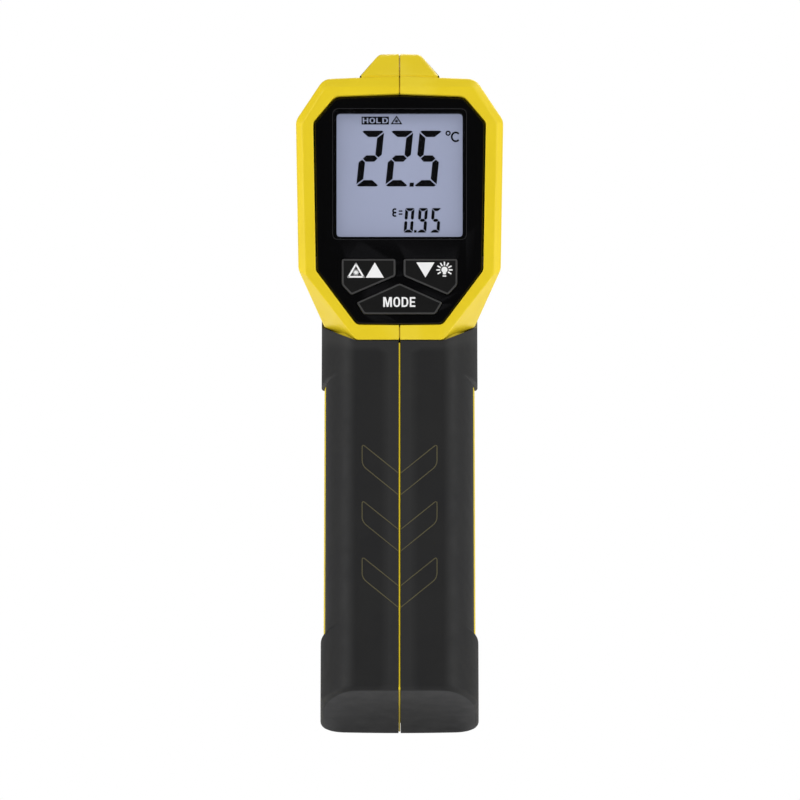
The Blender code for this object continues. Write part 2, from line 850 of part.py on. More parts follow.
def make_trigger():
    wide = trigger_half_width
    trigger = prism("trigger", trigger_outline, -wide, wide, HEAD_SIDE)
    join(trigger, cross_rod("boss", trigger_boss, -wide - 0.01, wide + 0.01, trigger_pivot, HEAD))
    cut(trigger, box("spring room", (-3, 30, 6.5), (3, 44.5, 20), HEAD))
    cut(trigger, cross_rod("hole", pin_radius + gap, -20, 20, trigger_pivot, HEAD, 16))
    finish(trigger, "black_plastic")
    set_origin(trigger, HEAD @ Vector((0, *trigger_pivot)))
    finish(cross_rod("trigger_pin", pin_radius, -11, 11, trigger_pivot, HEAD, 16), "steel")
    finish(trigger_spring(), "steel")
    switch_front = switch_back + 6.5
    floor = shelf_low + 3.0
    switch = box("trigger_switch", (-3.2, switch_back, floor), (3.2, switch_front, 4.8), HEAD)
    nib = box("nib", (-1.2, switch_front - 0.5, -4.5), (1.2, switch_front + 1.1, -2.5), HEAD)
    join(switch, nib)
    finish(switch, "black_plastic")


def trigger_spring():
    """A torsion spring round the pivot, with one leg down and one leg back."""
    coils = 3
    steps = 12
    pitch = 1.2
    centre = Vector((0, *trigger_pivot))
    start = -coils * pitch / 2
    points = []
    points.append(centre + Vector((start, -4.9, -8.0)))
    points.append(centre + Vector((start, -4.5, -4.8)))
    for step in range(coils * steps + 4):
        turn = math.pi + 2 * math.pi * step / steps
        ring = Vector((0, math.cos(turn), math.sin(turn))) * spring_radius
        points.append(centre + ring + Vector((start + pitch * step / steps, 0, 0)))
    last = points[-1]
    points.append(last + Vector((0, -2.0, 0.6)))
    points.append(last + Vector((0, -5.0, 1.6)))
    curve = bpy.data.curves.new("trigger_spring", "CURVE")
    curve.dimensions = "3D"
    curve.bevel_depth = spring_wire * MM
    curve.bevel_resolution = 0
    curve.use_fill_caps = True
    spline = curve.splines.new("POLY")
    spline.points.add(len(points) - 1)
    for spot, point in zip(spline.points, points):
        spot.co = (*((HEAD @ point) * MM), 1)
    spring = bpy.data.objects.new("trigger_spring", curve)
    bpy.context.collection.objects.link(spring)
    return spring


# Battery and its door


def make_door():
    centre = (front_depth - knuckle_radius, door_pin_height)
    door = grip_loft("battery_door", 10, 90)
    cut(door, grip_loft("inside", 5, 95, shrink=door_thickness))
    low = (-door_half, 30.0, door_pin_height)
    keep_inside(door, box("edge", low, (door_half, 60, door_top), GRIP))
    clear = door_pin_height + knuckle_radius + gap
    for side in (-1, 1):
        near = side * knuckle_half
        far = side * 20
        lug_room = box("lug room", (min(near, far), 20, 5), (max(near, far), 60, clear), GRIP)
        cut(door, lug_room)
    knuckle = cross_rod("knuckle", knuckle_radius, -knuckle_half, knuckle_half, centre, GRIP)
    join(door, knuckle)
    cut(door, cross_rod("hole", pin_radius + gap, -30, 30, centre, GRIP, 16))
    finish(door, "yellow_plastic")
    set_origin(door, GRIP @ Vector((0, *centre)))
    finish(cross_rod("door_pin", pin_radius, -13.5, 13.5, centre, GRIP, 16), "steel")


terminals = ((-6.4, 2.9), (6.4, 3.9))


def make_battery():
    half = battery_size[0] / 2
    front = battery_back + battery_size[1]
    top = battery_base + battery_size[2]
    corner = 2.0
    outline = [
        (half - corner, battery_back),
        (half, battery_back + corner),
        (half, front - corner),
        (half - corner, front),
        (corner - half, front),
        (-half, front - corner),
        (-half, battery_back + corner),
        (corner - half, battery_back),
    ]
    battery = prism("battery", outline, battery_base, top, GRIP)
    snap_low = (0.45 - half, battery_back + 1.5, top + gap)
    snap_high = (half - 0.45, front - 1.5, snap_top)
    snap = box("battery_snap", snap_low, snap_high, GRIP)
    middle = battery_back + battery_size[1] / 2
    for across, radius in terminals:
        spot = GRIP @ Matrix.Translation((across, middle, 0))
        stud = [(radius, top - 1), (radius, top + terminal_height)]
        join(battery, turned("stud", stud, spot, 16))
        room = [(radius + gap, top), (radius + gap, top + terminal_height + gap)]
        cut(snap, turned("socket", room, spot, 16))
    finish(battery, "battery_jacket")
    finish(snap, "black_plastic")


# Leads and screws


def make_leads():
    """Each pair of leads, with its red one first."""
    behind = board_depth + board_thickness + gap + 0.6
    for colour, across in (("red", -7.5), ("black", -5.0)):
        start = snap_top + gap
        route = [
            GRIP @ Vector((across, 20, start)),
            GRIP @ Vector((across, 20, start + 4)),
            HEAD @ Vector((across, 17.5, -6)),
            HEAD @ Vector((across, 17.5, 4)),
            FACE @ Vector((across, 15, -behind - 3)),
            FACE @ Vector((across, 22, -behind)),
        ]
        finish(lead(f"battery_lead_{colour}", route), f"{colour}_lead")
    for colour, across in (("red", -1.1), ("black", 1.1)):
        route = [
            HEAD @ Vector((across, laser_rear - gap, laser_height)),
            HEAD @ Vector((across, laser_rear - 5, laser_height - 2.5)),
            HEAD @ Vector((across * 1.5, throat_reach, laser_height - 3)),
            HEAD @ Vector((across * 2, 30, laser_height - 3.5)),
            FACE @ Vector((across * 2, 53, -behind - 3)),
            FACE @ Vector((across * 2, 50, -behind)),
        ]
        finish(lead(f"laser_lead_{colour}", route), f"{colour}_lead")
    for colour, across in (("red", -2.0), ("black", 2.0)):
        route = [
            HEAD @ Vector((across, switch_back - gap, -2)),
            HEAD @ Vector((across, 20, -1)),
            HEAD @ Vector((across, 17.6, 4)),
            FACE @ Vector((across, 12, -behind - 2)),
            FACE @ Vector((across, 17, -behind)),
        ]
        finish(lead(f"switch_lead_{colour}", route), f"{colour}_lead")
    route = [
        HEAD @ Vector((0, sensor_board_back - gap, bore_height)),
        HEAD @ Vector((0, 56, bore_height - 1)),
        HEAD @ Vector((0, throat_reach, bore_height - 4)),
        HEAD @ Vector((0, 26, bore_height - 6)),
        FACE @ Vector((0, 30, -behind - 3)),
        FACE @ Vector((0, 28, -behind)),
    ]
    finish(lead("sensor_lead", route, 0.8), "black_lead")


def make_screws():
    for number, (frame, centre) in enumerate(screw_places, 1):
        along = frame @ Matrix.Translation((0, centre[0], centre[1])) @ SIDEWAYS
        seat = screw_seat + gap
        tip = seat - screw_length
        profile = [(0.5, tip), (screw_shank, tip + 2), (screw_shank, seat)]
        profile += [(screw_head, seat), (screw_head, seat + 1.1), (1.7, seat + screw_head_height)]
        screw = turned(f"housing_screw_{number}", profile, along, 16)
        for turn in (0, math.pi / 2):
            slot = along @ Matrix.Rotation(turn, 4, "Z")
            depth = seat + screw_head_height
            cut(screw, box("slot", (-1.2, -0.3, depth - 1.0), (1.2, 0.3, depth + 1), slot))
        finish(screw, "steel")


def main():
    for item in list(bpy.data.objects):
        bpy.data.objects.remove(item)
    make_housing()
    make_grip_covers()
    make_bezel()
    make_display()
    make_board()
    make_keys()
    make_nose()
    make_sensor()
    make_trigger()
    make_door()
    make_battery()
    make_leads()
    make_screws()


main()
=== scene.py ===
"""Infrared thermometer: the finished surfaces, display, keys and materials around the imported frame.

Lengths are in millimetres until new_solid() turns them into metres.
"""

import json
import math

import bmesh
import bpy
from mathutils import Matrix, Vector


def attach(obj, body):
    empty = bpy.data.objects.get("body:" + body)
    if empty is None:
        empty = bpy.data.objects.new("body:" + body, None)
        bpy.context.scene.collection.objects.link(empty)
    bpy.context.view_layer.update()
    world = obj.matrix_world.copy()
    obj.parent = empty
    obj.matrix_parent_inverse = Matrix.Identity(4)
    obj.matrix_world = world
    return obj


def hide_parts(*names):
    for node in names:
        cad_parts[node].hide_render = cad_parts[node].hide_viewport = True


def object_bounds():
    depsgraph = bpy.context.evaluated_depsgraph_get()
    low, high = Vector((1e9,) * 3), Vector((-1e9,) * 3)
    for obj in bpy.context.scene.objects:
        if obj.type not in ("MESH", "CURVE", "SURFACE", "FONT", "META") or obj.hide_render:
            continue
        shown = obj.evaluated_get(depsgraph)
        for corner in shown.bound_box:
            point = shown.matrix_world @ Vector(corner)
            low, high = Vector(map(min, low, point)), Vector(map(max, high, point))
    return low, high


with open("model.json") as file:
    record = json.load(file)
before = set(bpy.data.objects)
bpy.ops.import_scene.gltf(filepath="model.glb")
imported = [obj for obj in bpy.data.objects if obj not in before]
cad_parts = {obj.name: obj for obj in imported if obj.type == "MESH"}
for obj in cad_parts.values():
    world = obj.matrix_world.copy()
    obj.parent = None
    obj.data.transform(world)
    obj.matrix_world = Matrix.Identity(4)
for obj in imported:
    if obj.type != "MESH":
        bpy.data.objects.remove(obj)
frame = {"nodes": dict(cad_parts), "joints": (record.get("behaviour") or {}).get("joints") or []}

cad_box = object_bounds()
MM = 0.001

# Frames, worked out from the two pivots that the record gives
slant = math.radians(16)
tilt = math.radians(10)
trigger_pivot = (40.5, 10.8)  # forwards of and above the chin
door_pivot = (34.9, 19.9)  # depth and height in the grip
pivots = {joint["name"]: Vector(joint.get("pos_m", (0, 0, 0))) / MM for joint in frame["joints"]}
GRIP_TURN = Matrix.Rotation(-slant, 4, "X")
chin = pivots["trigger_pull"] - Vector((0, *trigger_pivot))
heel = pivots["battery_door_open"] - GRIP_TURN @ Vector((0, *door_pivot))
HEAD = Matrix.Translation(chin)
FACE_TURN = Matrix.Rotation(math.pi / 2 - tilt, 4, "X")
FACE = HEAD @ FACE_TURN
GRIP = Matrix.Translation(heel) @ GRIP_TURN
SIDEWAYS = Matrix(((0, 0, 1, 0), (1, 0, 0, 0), (0, 1, 0, 0), (0, 0, 0, 1)))
FORWARDS = Matrix.Rotation(-math.pi / 2, 4, "X")

# Grip
grip_length = 85.5
front_depth = 37.4
back_half = 10.1
side_depth = 18.0
half_top = 17.6
half_base = 17.9
front_corner = 6.0
front_crown = 0.5
cover_proud = 0.7
cover_wall = 1.5
gap = 0.3
collar_low = 78.2
boot_height = 17.1
cover_reach = 12.9
base_round = 1.3
core_shrink = cover_wall + gap
core_wall = 2.0
head_overlap = 1.5  # how far the grip's walls reach into the head
door_half = 14.6
door_low = 19.9
door_top = 70.0
door_wall = 2.2
slot_half = 7.3
slot_low = 73.96

# Head
half_seam = 0.15
cover_seam = 0.25
underside_rise = 0.2
barrel_reach = 80.0
nose_length = 11.0
bore_height = 35.8
laser_height = 59.5
crest_height = 62.05
funnel_mouth = 13.2
funnel_throat = 8.2

# Half outlines from the top middle round to the bottom middle, with the radius of each corner
panel_corners = ((0, 58.5), (15.03, 57.96), (20.0, 52.0), (19.4, 16.75), (9.98, 4.0), (0, 3.9))
panel_radii = (1.2, 0.6, 0.6, 0.9)
face_corners = ((0, 60.4), (17.5, 60.4), (22.9, 51.7), (22.07, 15.6), (10.1, 0), (0, 0))
face_radii = (1.1, 0.6, 0.6, 0.6)
rear_corners = ((0, 59.1), (16.6, 59.1), (21.6, 51.2), (20.8, 16.4), (9.8, 3.4), (0, 3.4))
shoulder_corners = (
    (0, 13.6, 62.1),
    (17.9, 13.2, 61.35),
    (24.4, 11.1, 51.6),
    (23.8, 4.85, 16.5),
    (17.6, 14.0, 2.8),
    (0, 14.0, 2.8),
)
shoulder_radii = (1.7, 1.0, 0.7, 0.7)
throat_corners = ((0, 61.3), (16.4, 60.6), (23.0, 51.0), (22.6, 19.0), (15.5, 8.0), (0, 8.0))
throat_radii = (2.5, 2.5, 4.0, 3.0)
front_corners = ((0, 59.0), (13.9, 58.4), (19.4, 50.5), (19.2, 24.5), (12.5, 14.3), (0, 14.0))
front_radii = (2.0, 2.0, 3.0, 2.0)


# Materials


def linear(red, green, blue):
    """A colour given as seen on a screen, 0 to 255, as the light that it reflects."""
    channels = []
    for value in (red, green, blue):
        share = value / 255
        channels.append(share / 12.92 if share <= 0.04045 else ((share + 0.055) / 1.055) ** 2.4)
    return (*channels, 1)


class Finish:
    """A material's node tree around one Principled shader."""

    def __init__(self, name):
        self.material = bpy.data.materials.new(name)
        self.material.use_nodes = True
        self.tree = self.material.node_tree
        self.surface = self.tree.nodes["Principled BSDF"]
        self.place = self.node("ShaderNodeTexCoord").outputs["Object"]

    def node(self, kind, inputs=None, **settings):
        made = self.tree.nodes.new(kind)
        for key, value in settings.items():
            setattr(made, key, value)
        for key, value in (inputs or {}).items():
            if isinstance(value, bpy.types.NodeSocket):
                self.tree.links.new(value, made.inputs[key])
            else:
                made.inputs[key].default_value = value
        return made

    def set(self, **values):
        for key, value in values.items():
            socket = self.surface.inputs[key.replace("_", " ")]
            if isinstance(value, bpy.types.NodeSocket):
                self.tree.links.new(value, socket)
            else:
                socket.default_value = value
        return self

    def noise(self, size, detail=2.0, stretch=None):
        """Noise whose features are about the given size in metres."""
        place = self.place
        if stretch:
            place = self.node("ShaderNodeMapping", {"Vector": place, "Scale": stretch}).outputs[0]
        inputs = {"Vector": place, "Scale": 1 / size, "Detail": detail}
        return self.node("ShaderNodeTexNoise", inputs).outputs["Fac"]

    def ranged(self, value, low, high, start=0.3, end=0.7):
        inputs = {"Value": value, "From Min": start, "From Max": end, "To Min": low, "To Max": high}
        return self.node("ShaderNodeMapRange", inputs).outputs[0]

    def mixed(self, share, first, second):
        made = self.node("ShaderNodeMix", data_type="RGBA")
        for index, value in ((0, share), (6, first), (7, second)):
            if isinstance(value, bpy.types.NodeSocket):
                self.tree.links.new(value, made.inputs[index])
            else:
                made.inputs[index].default_value = value
        return made.outputs[2]

    def edges(self, low=0.53, high=0.62):
        """Where the surface turns a corner, from 0 to 1."""
        point = self.node("ShaderNodeNewGeometry").outputs["Pointiness"]
        return self.ranged(point, 0.0, 1.0, low, high)

    def bumped(self, height, depth, strength=1.0):
        inputs = {"Height": height, "Distance": depth, "Strength": strength}
        return self.set(Normal=self.node("ShaderNodeBump", inputs).outputs[0])


def moulded(name, colour, shade, highlight_colour, roughness, grain, depth, edge_highlight=0.3, shine=0.5):
    """Moulded plastic or rubber: fine grain, slight mottling, and edges painted lighter as a painted
    highlight.
    """
    made = Finish(name)
    patches = made.noise(0.012, 3.0)
    body = made.mixed(made.ranged(patches, 0.0, 1.0), colour, shade)
    # Painted highlight: where the surface turns a corner its colour is mixed towards a lighter one.
    painted_highlight_share = made.ranged(made.edges(), 0.0, edge_highlight, 0.0, 1.0)
    made.set(Base_Color=made.mixed(painted_highlight_share, body, highlight_colour))
    made.set(Roughness=made.ranged(made.noise(0.004, 4.0), roughness - 0.05, roughness + 0.05))
    made.set(Specular_IOR_Level=shine)
    made.bumped(made.noise(grain, 3.0), depth)
    return made


def bare_metal(name, colour, roughness, lengthwise):
    made = Finish(name)
    lines = made.noise(0.0004, 4.0, lengthwise)
    made.set(Base_Color=made.mixed(made.ranged(lines, 0.0, 0.35), colour, (0.25, 0.24, 0.22, 1)))
    made.set(Metallic=1.0, Roughness=made.ranged(lines, roughness - 0.06, roughness + 0.1))
    made.bumped(lines, 0.000004)
    return made


yellow = linear(240, 212, 34)
# In each moulded finish the third colour is the painted edge highlight.
finishes = {
    "yellow": moulded(
        "yellow_plastic", yellow, linear(236, 207, 30), linear(247, 224, 74), 0.42, 0.00025, 0.000004,
        0.3, 0.25
    ),
    # Painted shade: the tongues and the front rib in the parting lines take a darker yellow, standing in for
    # the shade inside the narrow gap.
    "seam": moulded(
        "yellow_painted_seam_shade", linear(206, 183, 42), linear(196, 174, 38), yellow, 0.5, 0.00025, 0.000004
    ),
    "rubber": moulded(
        "black_rubber", linear(34, 34, 34), linear(31, 31, 32), linear(58, 58, 58), 0.58, 0.0003,
        0.00001, 0.35, 0.25
    ),
    # Painted light: the downward faces of the grip covers take a lighter rubber, standing in for light
    # thrown up from the floor.
    "lit_underside": moulded(
        "rubber_painted_underside_light", linear(52, 52, 53), linear(48, 48, 49), linear(64, 64, 64), 0.6, 0.0003,
        0.00001, 0.3, 0.3
    ),
    "chevron": moulded(
        "chevron_line", linear(84, 79, 50), linear(76, 71, 46), linear(92, 87, 58), 0.6, 0.0003,
        0.000005
    ),
    "gloss": moulded(
        "gloss_black", linear(3, 3, 4), linear(2, 2, 3), linear(26, 26, 28), 0.1, 0.002, 0.000001, 0.5
    ),
    # Painted highlight: a thin lighter ring round the window stands in for the glint along the bevelled edge
    # of the gloss panel.
    "window_highlight": moulded(
        "painted_window_highlight", linear(30, 30, 32), linear(26, 26, 28), linear(44, 44, 46), 0.35, 0.0004,
        0.000002, 0.3, 0.3
    ),
    "key": moulded(
        "key_black", linear(22, 22, 22), linear(19, 19, 19), linear(40, 40, 40), 0.5, 0.0002, 0.000004,
        0.3, 0.15
    ),
    "key_edge": moulded(
        "key_border", linear(62, 62, 62), linear(52, 52, 52), linear(84, 84, 84), 0.45, 0.0002,
        0.000002
    ),
    "black": moulded(
        "black_plastic", linear(30, 30, 31), linear(24, 24, 25), linear(70, 70, 72), 0.48, 0.0002,
        0.000008
    ),
    "white": moulded(
        "white_print", linear(250, 250, 250), linear(240, 240, 240), linear(255, 255, 255), 0.5,
        0.0002, 0.000002
    ),
    "diffuser": moulded(
        "white_plastic", linear(230, 230, 226), linear(222, 222, 216), linear(245, 245, 240), 0.5,
        0.0003, 0.000004
    ),
    "silicone": moulded(
        "grey_silicone", linear(120, 120, 122), linear(108, 108, 110), linear(150, 150, 150), 0.7,
        0.0003, 0.000006
    ),
    "segment": moulded(
        "display_segment", linear(8, 9, 12), linear(6, 7, 10), linear(14, 15, 18), 0.5, 0.0002,
        0.000001, 0.1, 0.08
    ),
    "red_lead": moulded(
        "red_insulation", linear(186, 26, 22), linear(170, 20, 18), linear(220, 70, 60), 0.45,
        0.0004, 0.000004
    ),
    "black_lead": moulded(
        "black_insulation", linear(24, 24, 26), linear(18, 18, 20), linear(60, 60, 62), 0.45, 0.0004,
        0.000004
    ),
    "jacket": moulded(
        "battery_jacket", linear(40, 52, 74), linear(34, 45, 66), linear(120, 130, 150), 0.32, 0.0006,
        0.000003
    ),
    "band": moulded(
        "battery_band", linear(176, 110, 62), linear(160, 98, 54), linear(214, 160, 110), 0.32,
        0.0006, 0.000003
    ),
    "steel": bare_metal("bright_steel", (0.62, 0.62, 0.63, 1), 0.28, (1, 1, 12)),
    "brass": bare_metal("turned_brass", (0.75, 0.55, 0.25, 1), 0.3, (1, 12, 1)),
}


def display_finish():
    made = Finish("display_cell")
    clouds = made.noise(0.02, 2.0)
    colour = made.mixed(clouds, linear(160, 167, 193), linear(156, 163, 189))
    # Painted light: the cell glows with its own colour, which lifts it evenly and hides the shade cast by
    # the opening's walls.
    made.set(Base_Color=colour, Emission_Color=colour, Emission_Strength=0.58)
    made.set(Roughness=made.ranged(made.noise(0.003), 0.3, 0.38))
    made.bumped(made.noise(0.0002), 0.000001)
    return made


def window_finish():
    made = Finish("clear_window")
    smears = made.noise(0.006, 4.0)
    made.set(Base_Color=(0.01, 0.01, 0.012, 1), Roughness=made.ranged(smears, 0.03, 0.08))
    made.set(Alpha=0.12)
    return made


def lens_finish():
    made = Finish("infrared_lens")
    haze = made.noise(0.002, 3.0)
    made.set(Base_Color=made.mixed(haze, linear(206, 204, 190), linear(188, 186, 172)))
    made.set(Roughness=made.ranged(haze, 0.18, 0.3), Coat_Weight=0.6)
    return made


def board_finish():
    """Solder mask over copper tracks."""
    made = Finish("circuit_board")
    tracks = made.node(
        "ShaderNodeTexBrick",
        {"Vector": made.place, "Scale": 260.0, "Mortar Size": 0.06, "Color1": (1, 1, 1, 1),
         "Color2": (1, 1, 1, 1), "Mortar": (0, 0, 0, 1)},
    ).outputs["Color"]
    made.set(Base_Color=made.mixed(tracks, linear(46, 132, 74), linear(20, 96, 48)))
    made.set(Roughness=made.ranged(made.noise(0.004), 0.3, 0.45))
    made.bumped(tracks, 0.00003)
    return made


finishes["display"] = display_finish()
finishes["window"] = window_finish()
finishes["lens"] = lens_finish()
finishes["board"] = board_finish()


# Shapes


def new_solid(name, points, faces, finish):
    mesh = bpy.data.meshes.new(name)
    mesh.from_pydata([Vector(point) * MM for point in points], [], faces)
    mesh.materials.append(finishes[finish].material)
    shell = bmesh.new()
    shell.from_mesh(mesh)
    bmesh.ops.remove_doubles(shell, verts=shell.verts, dist=1e-7)
    bmesh.ops.dissolve_degenerate(shell, edges=shell.edges, dist=1e-7)
    bmesh.ops.recalc_face_normals(shell, faces=shell.faces)
    shell.to_mesh(mesh)
    shell.free()
    solid = bpy.data.objects.new(name, mesh)
    bpy.context.collection.objects.link(solid)
    return solid


def loft(name, rings, finish, closed_ring=False):
    """Joins rings of points. A closed ring joins its last ring to its first."""
    count = len(rings[0])
    points = [point for ring in rings for point in ring]
    total = len(points)
    faces = []
    steps = len(rings) if closed_ring else len(rings) - 1
    for step in range(steps):
        for index in range(count):
            here = step * count + index
            beside = step * count + (index + 1) % count
            faces.append((here, beside, (beside + count) % total, (here + count) % total))
    if not closed_ring:
        faces.append(tuple(range(count)))
        faces.append(tuple(range(total - count, total)))
    return new_solid(name, points, faces, finish)


def prism(name, outline, low, high, where, finish):
    rings = [[where @ Vector((a, b, level)) for a, b in outline] for level in (low, high)]
    return loft(name, rings, finish)


def block(name, low, high, where, finish):
    outline = ((low[0], low[1]), (high[0], low[1]), (high[0], high[1]), (low[0], high[1]))
    return prism(name, outline, low[2], high[2], where, finish)


def slab(name, outline, front, back, where, finish, edge=0.3, back_edge=0.0, steps=4):
    """A prism with its front edges rounded, and its back edges too if back_edge is given."""
    levels = []
    thick = 1 if front > back else -1
    for step in range(steps + 1):
        turn = math.pi / 2 * step / steps
        levels.append((edge * (1 - math.sin(turn)), front - thick * edge * (1 - math.cos(turn))))
    if back_edge:
        for step in range(steps + 1):
            turn = math.pi / 2 * step / steps
            drop = back_edge * (1 - math.sin(turn))
            levels.append((back_edge * (1 - math.cos(turn)), back + thick * drop))
    else:
        levels.append((0, back))
    rings = []
    for distance, level in levels:
        ring = inset(outline, distance) if distance else outline
        rings.append([where @ Vector((a, b, level)) for a, b in ring])
    return loft(name, rings, finish)


def turned(name, profile, where, finish, sides=64, hollow=False):
    """A profile of (radius, height) turned about the frame's Z."""
    turns = [2 * math.pi * side / sides for side in range(sides)]
    rings = []
    for radius, height in profile:
        ring = [(radius * math.cos(turn), radius * math.sin(turn), height) for turn in turns]
        rings.append([where @ Vector(point) for point in ring])
    return loft(name, rings, finish, closed_ring=hollow)


def cross_rod(name, radius, start, end, centre, where, finish, sides=40):
    """A round rod along X, where centre is its place in the side view."""
    along = where @ Matrix.Translation((0, centre[0], centre[1])) @ SIDEWAYS
    return turned(name, [(radius, start), (radius, end)], along, finish, sides)


def ribbon(name, path, width, low, high, where, finish):
    """A strip of the given width along a flat open path."""
    left, right = [], []
    for index, here in enumerate(path):
        before = path[max(index - 1, 0)]
        after = path[min(index + 1, len(path) - 1)]
        first = (Vector(here) - Vector(before)).normalized() if index else None
        second = (Vector(after) - Vector(here)).normalized() if index < len(path) - 1 else None
        first = first or second
        second = second or first
        aside = Vector((-first.y - second.y, first.x + second.x)) / (1 + first.dot(second))
        left.append(tuple(Vector(here) + aside * width / 2))
        right.append(tuple(Vector(here) - aside * width / 2))
    return prism(name, left + right[::-1], low, high, where, finish)


def inset(outline, distance):
    """The closed outline moved inwards by the distance, or outwards if it is negative."""
    outline = list(outline)
    behind = outline[-1:] + outline[:-1]
    ahead = outline[1:] + outline[:1]
    area = sum(a[0] * b[1] - b[0] * a[1] for a, b in zip(outline, ahead))
    signed = distance if area > 0 else -distance
    moved = []
    for before, here, after in zip(behind, outline, ahead):
        first = Vector((here[0] - before[0], here[1] - before[1])).normalized()
        second = Vector((after[0] - here[0], after[1] - here[1])).normalized()
        inward = Vector((-first.y - second.y, first.x + second.x))
        inward *= signed / (1 + first.dot(second))
        moved.append((here[0] + inward.x, here[1] + inward.y))
    return moved


def mirrored(half):
    """A whole outline from its right half, whose first and last points lie at x = 0."""
    half = list(half)
    return half + [(-x, y) for x, y in reversed(half[1:-1])]


def inset_half(corners, distance):
    """A half outline moved inwards, still starting and ending at the middle."""
    return inset(mirrored(corners), distance)[: len(corners)]


def curve_through(start, corner, end, steps):
    """Points after start on the curve that rounds a corner."""
    points = []
    for step in range(1, steps + 1):
        t = step / steps
        points.append(start * (1 - t) ** 2 + corner * 2 * t * (1 - t) + end * t**2)
    return points


def soft_run(corners, radii, arc=4, span=3):
    """An open run of points with its inner corners rounded."""
    points = [Vector(corner) for corner in corners]
    run = [points[0]]
    for before, corner, after, radius in zip(points, points[1:], points[2:], radii):
        start = corner + (before - corner).normalized() * radius
        end = corner + (after - corner).normalized() * radius
        last = run[-1]
        run += [last.lerp(start, step / span) for step in range(1, span + 1)]
        run += curve_through(start, corner, end, arc)
    last = run[-1]
    run += [last.lerp(points[-1], step / span) for step in range(1, span + 1)]
    return run


def soft_loop(points, radii, arc=4):
    """A closed loop of points with its corners rounded. A radius of 0 leaves the corner."""
    loop = []
    for index, (corner, radius) in enumerate(zip(points, radii)):
        before = points[index - 1]
        after = points[(index + 1) % len(points)]
        if not radius:
            loop.append(corner)
            continue
        start = corner + (before - corner).normalized() * radius
        end = corner + (after - corner).normalized() * radius
        loop.append(start)
        loop += curve_through(start, corner, end, arc)
    return loop


def soft_outline(corners, radius, arc=4):
    """A closed flat outline with all its corners rounded by one radius."""
    points = [Vector(corner) for corner in corners]
    return [tuple(point) for point in soft_loop(points, [radius] * len(points), arc)]


def rectangle(half, low, high):
    return [(-half, low), (half, low), (half, high), (-half, high)]


def unite(name, *solids):
    """One object from several closed solids."""
    whole = bmesh.new()
    materials = []
    for solid in solids:
        own = solid.data.materials
        slots = []
        for material in own:
            if material not in materials:
                materials.append(material)
            slots.append(materials.index(material))
        first = len(whole.faces)
        whole.from_mesh(solid.data)
        whole.faces.ensure_lookup_table()
        for face in whole.faces[first:]:
            face.material_index = slots[face.material_index]
    mesh = bpy.data.meshes.new(name)
    whole.to_mesh(mesh)
    whole.free()
    for material in materials:
        mesh.materials.append(material)
    for solid in solids:
        bpy.data.objects.remove(solid)
    made = bpy.data.objects.new(name, mesh)
    bpy.context.collection.objects.link(made)
    return made


def bake_modifiers(solid):
    graph = bpy.context.evaluated_depsgraph_get()
    result = bpy.data.meshes.new_from_object(solid.evaluated_get(graph))
    solid.modifiers.clear()
    solid.data = result
    return solid


def triangulate(solid):
    shell = bmesh.new()
    shell.from_mesh(solid.data)
    bmesh.ops.triangulate(shell, faces=shell.faces)
    shell.to_mesh(solid.data)
    shell.free()


def cut(body, *tools):
    triangulate(body)
    for tool in tools:
        triangulate(tool)
        change = body.modifiers.new("cut", "BOOLEAN")
        change.operation = "DIFFERENCE"
        change.solver = "EXACT"
        change.object = tool
        bake_modifiers(body)
        bpy.data.objects.remove(tool)
    return body


def polish(solid, bevel=0.0, angle=50, segments=2, smooth=35, weighted=True):
    """Rounds the sharp edges and shades the soft ones smooth."""
    if bevel:
        change = solid.modifiers.new("edges", "BEVEL")
        change.width = bevel * MM
        change.segments = segments
        change.limit_method = "ANGLE"
        change.angle_limit = math.radians(angle)
        bake_modifiers(solid)
    solid.data.shade_smooth()
    solid.data.set_sharp_from_angle(angle=math.radians(smooth))
    if weighted:
        change = solid.modifiers.new("normals", "WEIGHTED_NORMAL")
        change.keep_sharp = True
        bake_modifiers(solid)
    return solid


def place(solid, body, slot, *nodes):
    """The solid becomes a piece that rides on the body and stands for the nodes."""
    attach(solid, body)
    if nodes:
        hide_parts(*nodes)
    return solid


# Grip section: stations 0 to 1 run over the flat back, 1 to 2 round the side, 2 to 3 along it,
# 3 to 4 round the front corner and 4 to 5 over the crowned front to the middle.


def ease(value):
    value = min(max(value, 0.0), 1.0)
    return value * value * (3 - 2 * value)


def section_point(station, height, shrink=0.0, swell=0.0, depth=front_depth, seam=0.0):
    swell *= ease((station - 1.3) / 0.6)
    side = half_base + (half_top - half_base) * height / grip_length - shrink + swell
    corner = front_corner - shrink
    front = depth - shrink
    part = min(int(station), 4)
    share = station - part
    straight = front - front_crown - corner
    if part == 0:
        x, y = seam + (back_half - seam) * share, shrink
    elif part == 1:
        turn = math.pi / 2 * share
        x = back_half + (side - back_half) * math.sin(turn)
        y = side_depth - (side_depth - shrink) * math.cos(turn)
    elif part == 2:
        x, y = side, side_depth + (straight - side_depth) * share
    elif part == 3:
        turn = math.pi / 2 * share
        x, y = side - corner + corner * math.cos(turn), straight + corner * math.sin(turn)
    else:
        reach = side - corner
        x = reach + (seam - reach) * share
        y = front - front_crown * (x / reach) ** 2
    return Vector((x, y, height))


def station_at_depth(depth):
    """The station on the oval side at a depth from the back."""
    return 1 + math.acos(1 - depth / side_depth) / (math.pi / 2)


def station_at_half(half):
    """The station on the front corner or the front where the section has this half width."""
    reach = half_base - front_corner
    if half > reach:
        return 3 + math.acos((half - reach) / front_corner) / (math.pi / 2)
    return 4 + (reach - half) / reach


def steps_between(low, high, count):
    return [low + (high - low) * step / count for step in range(count)]


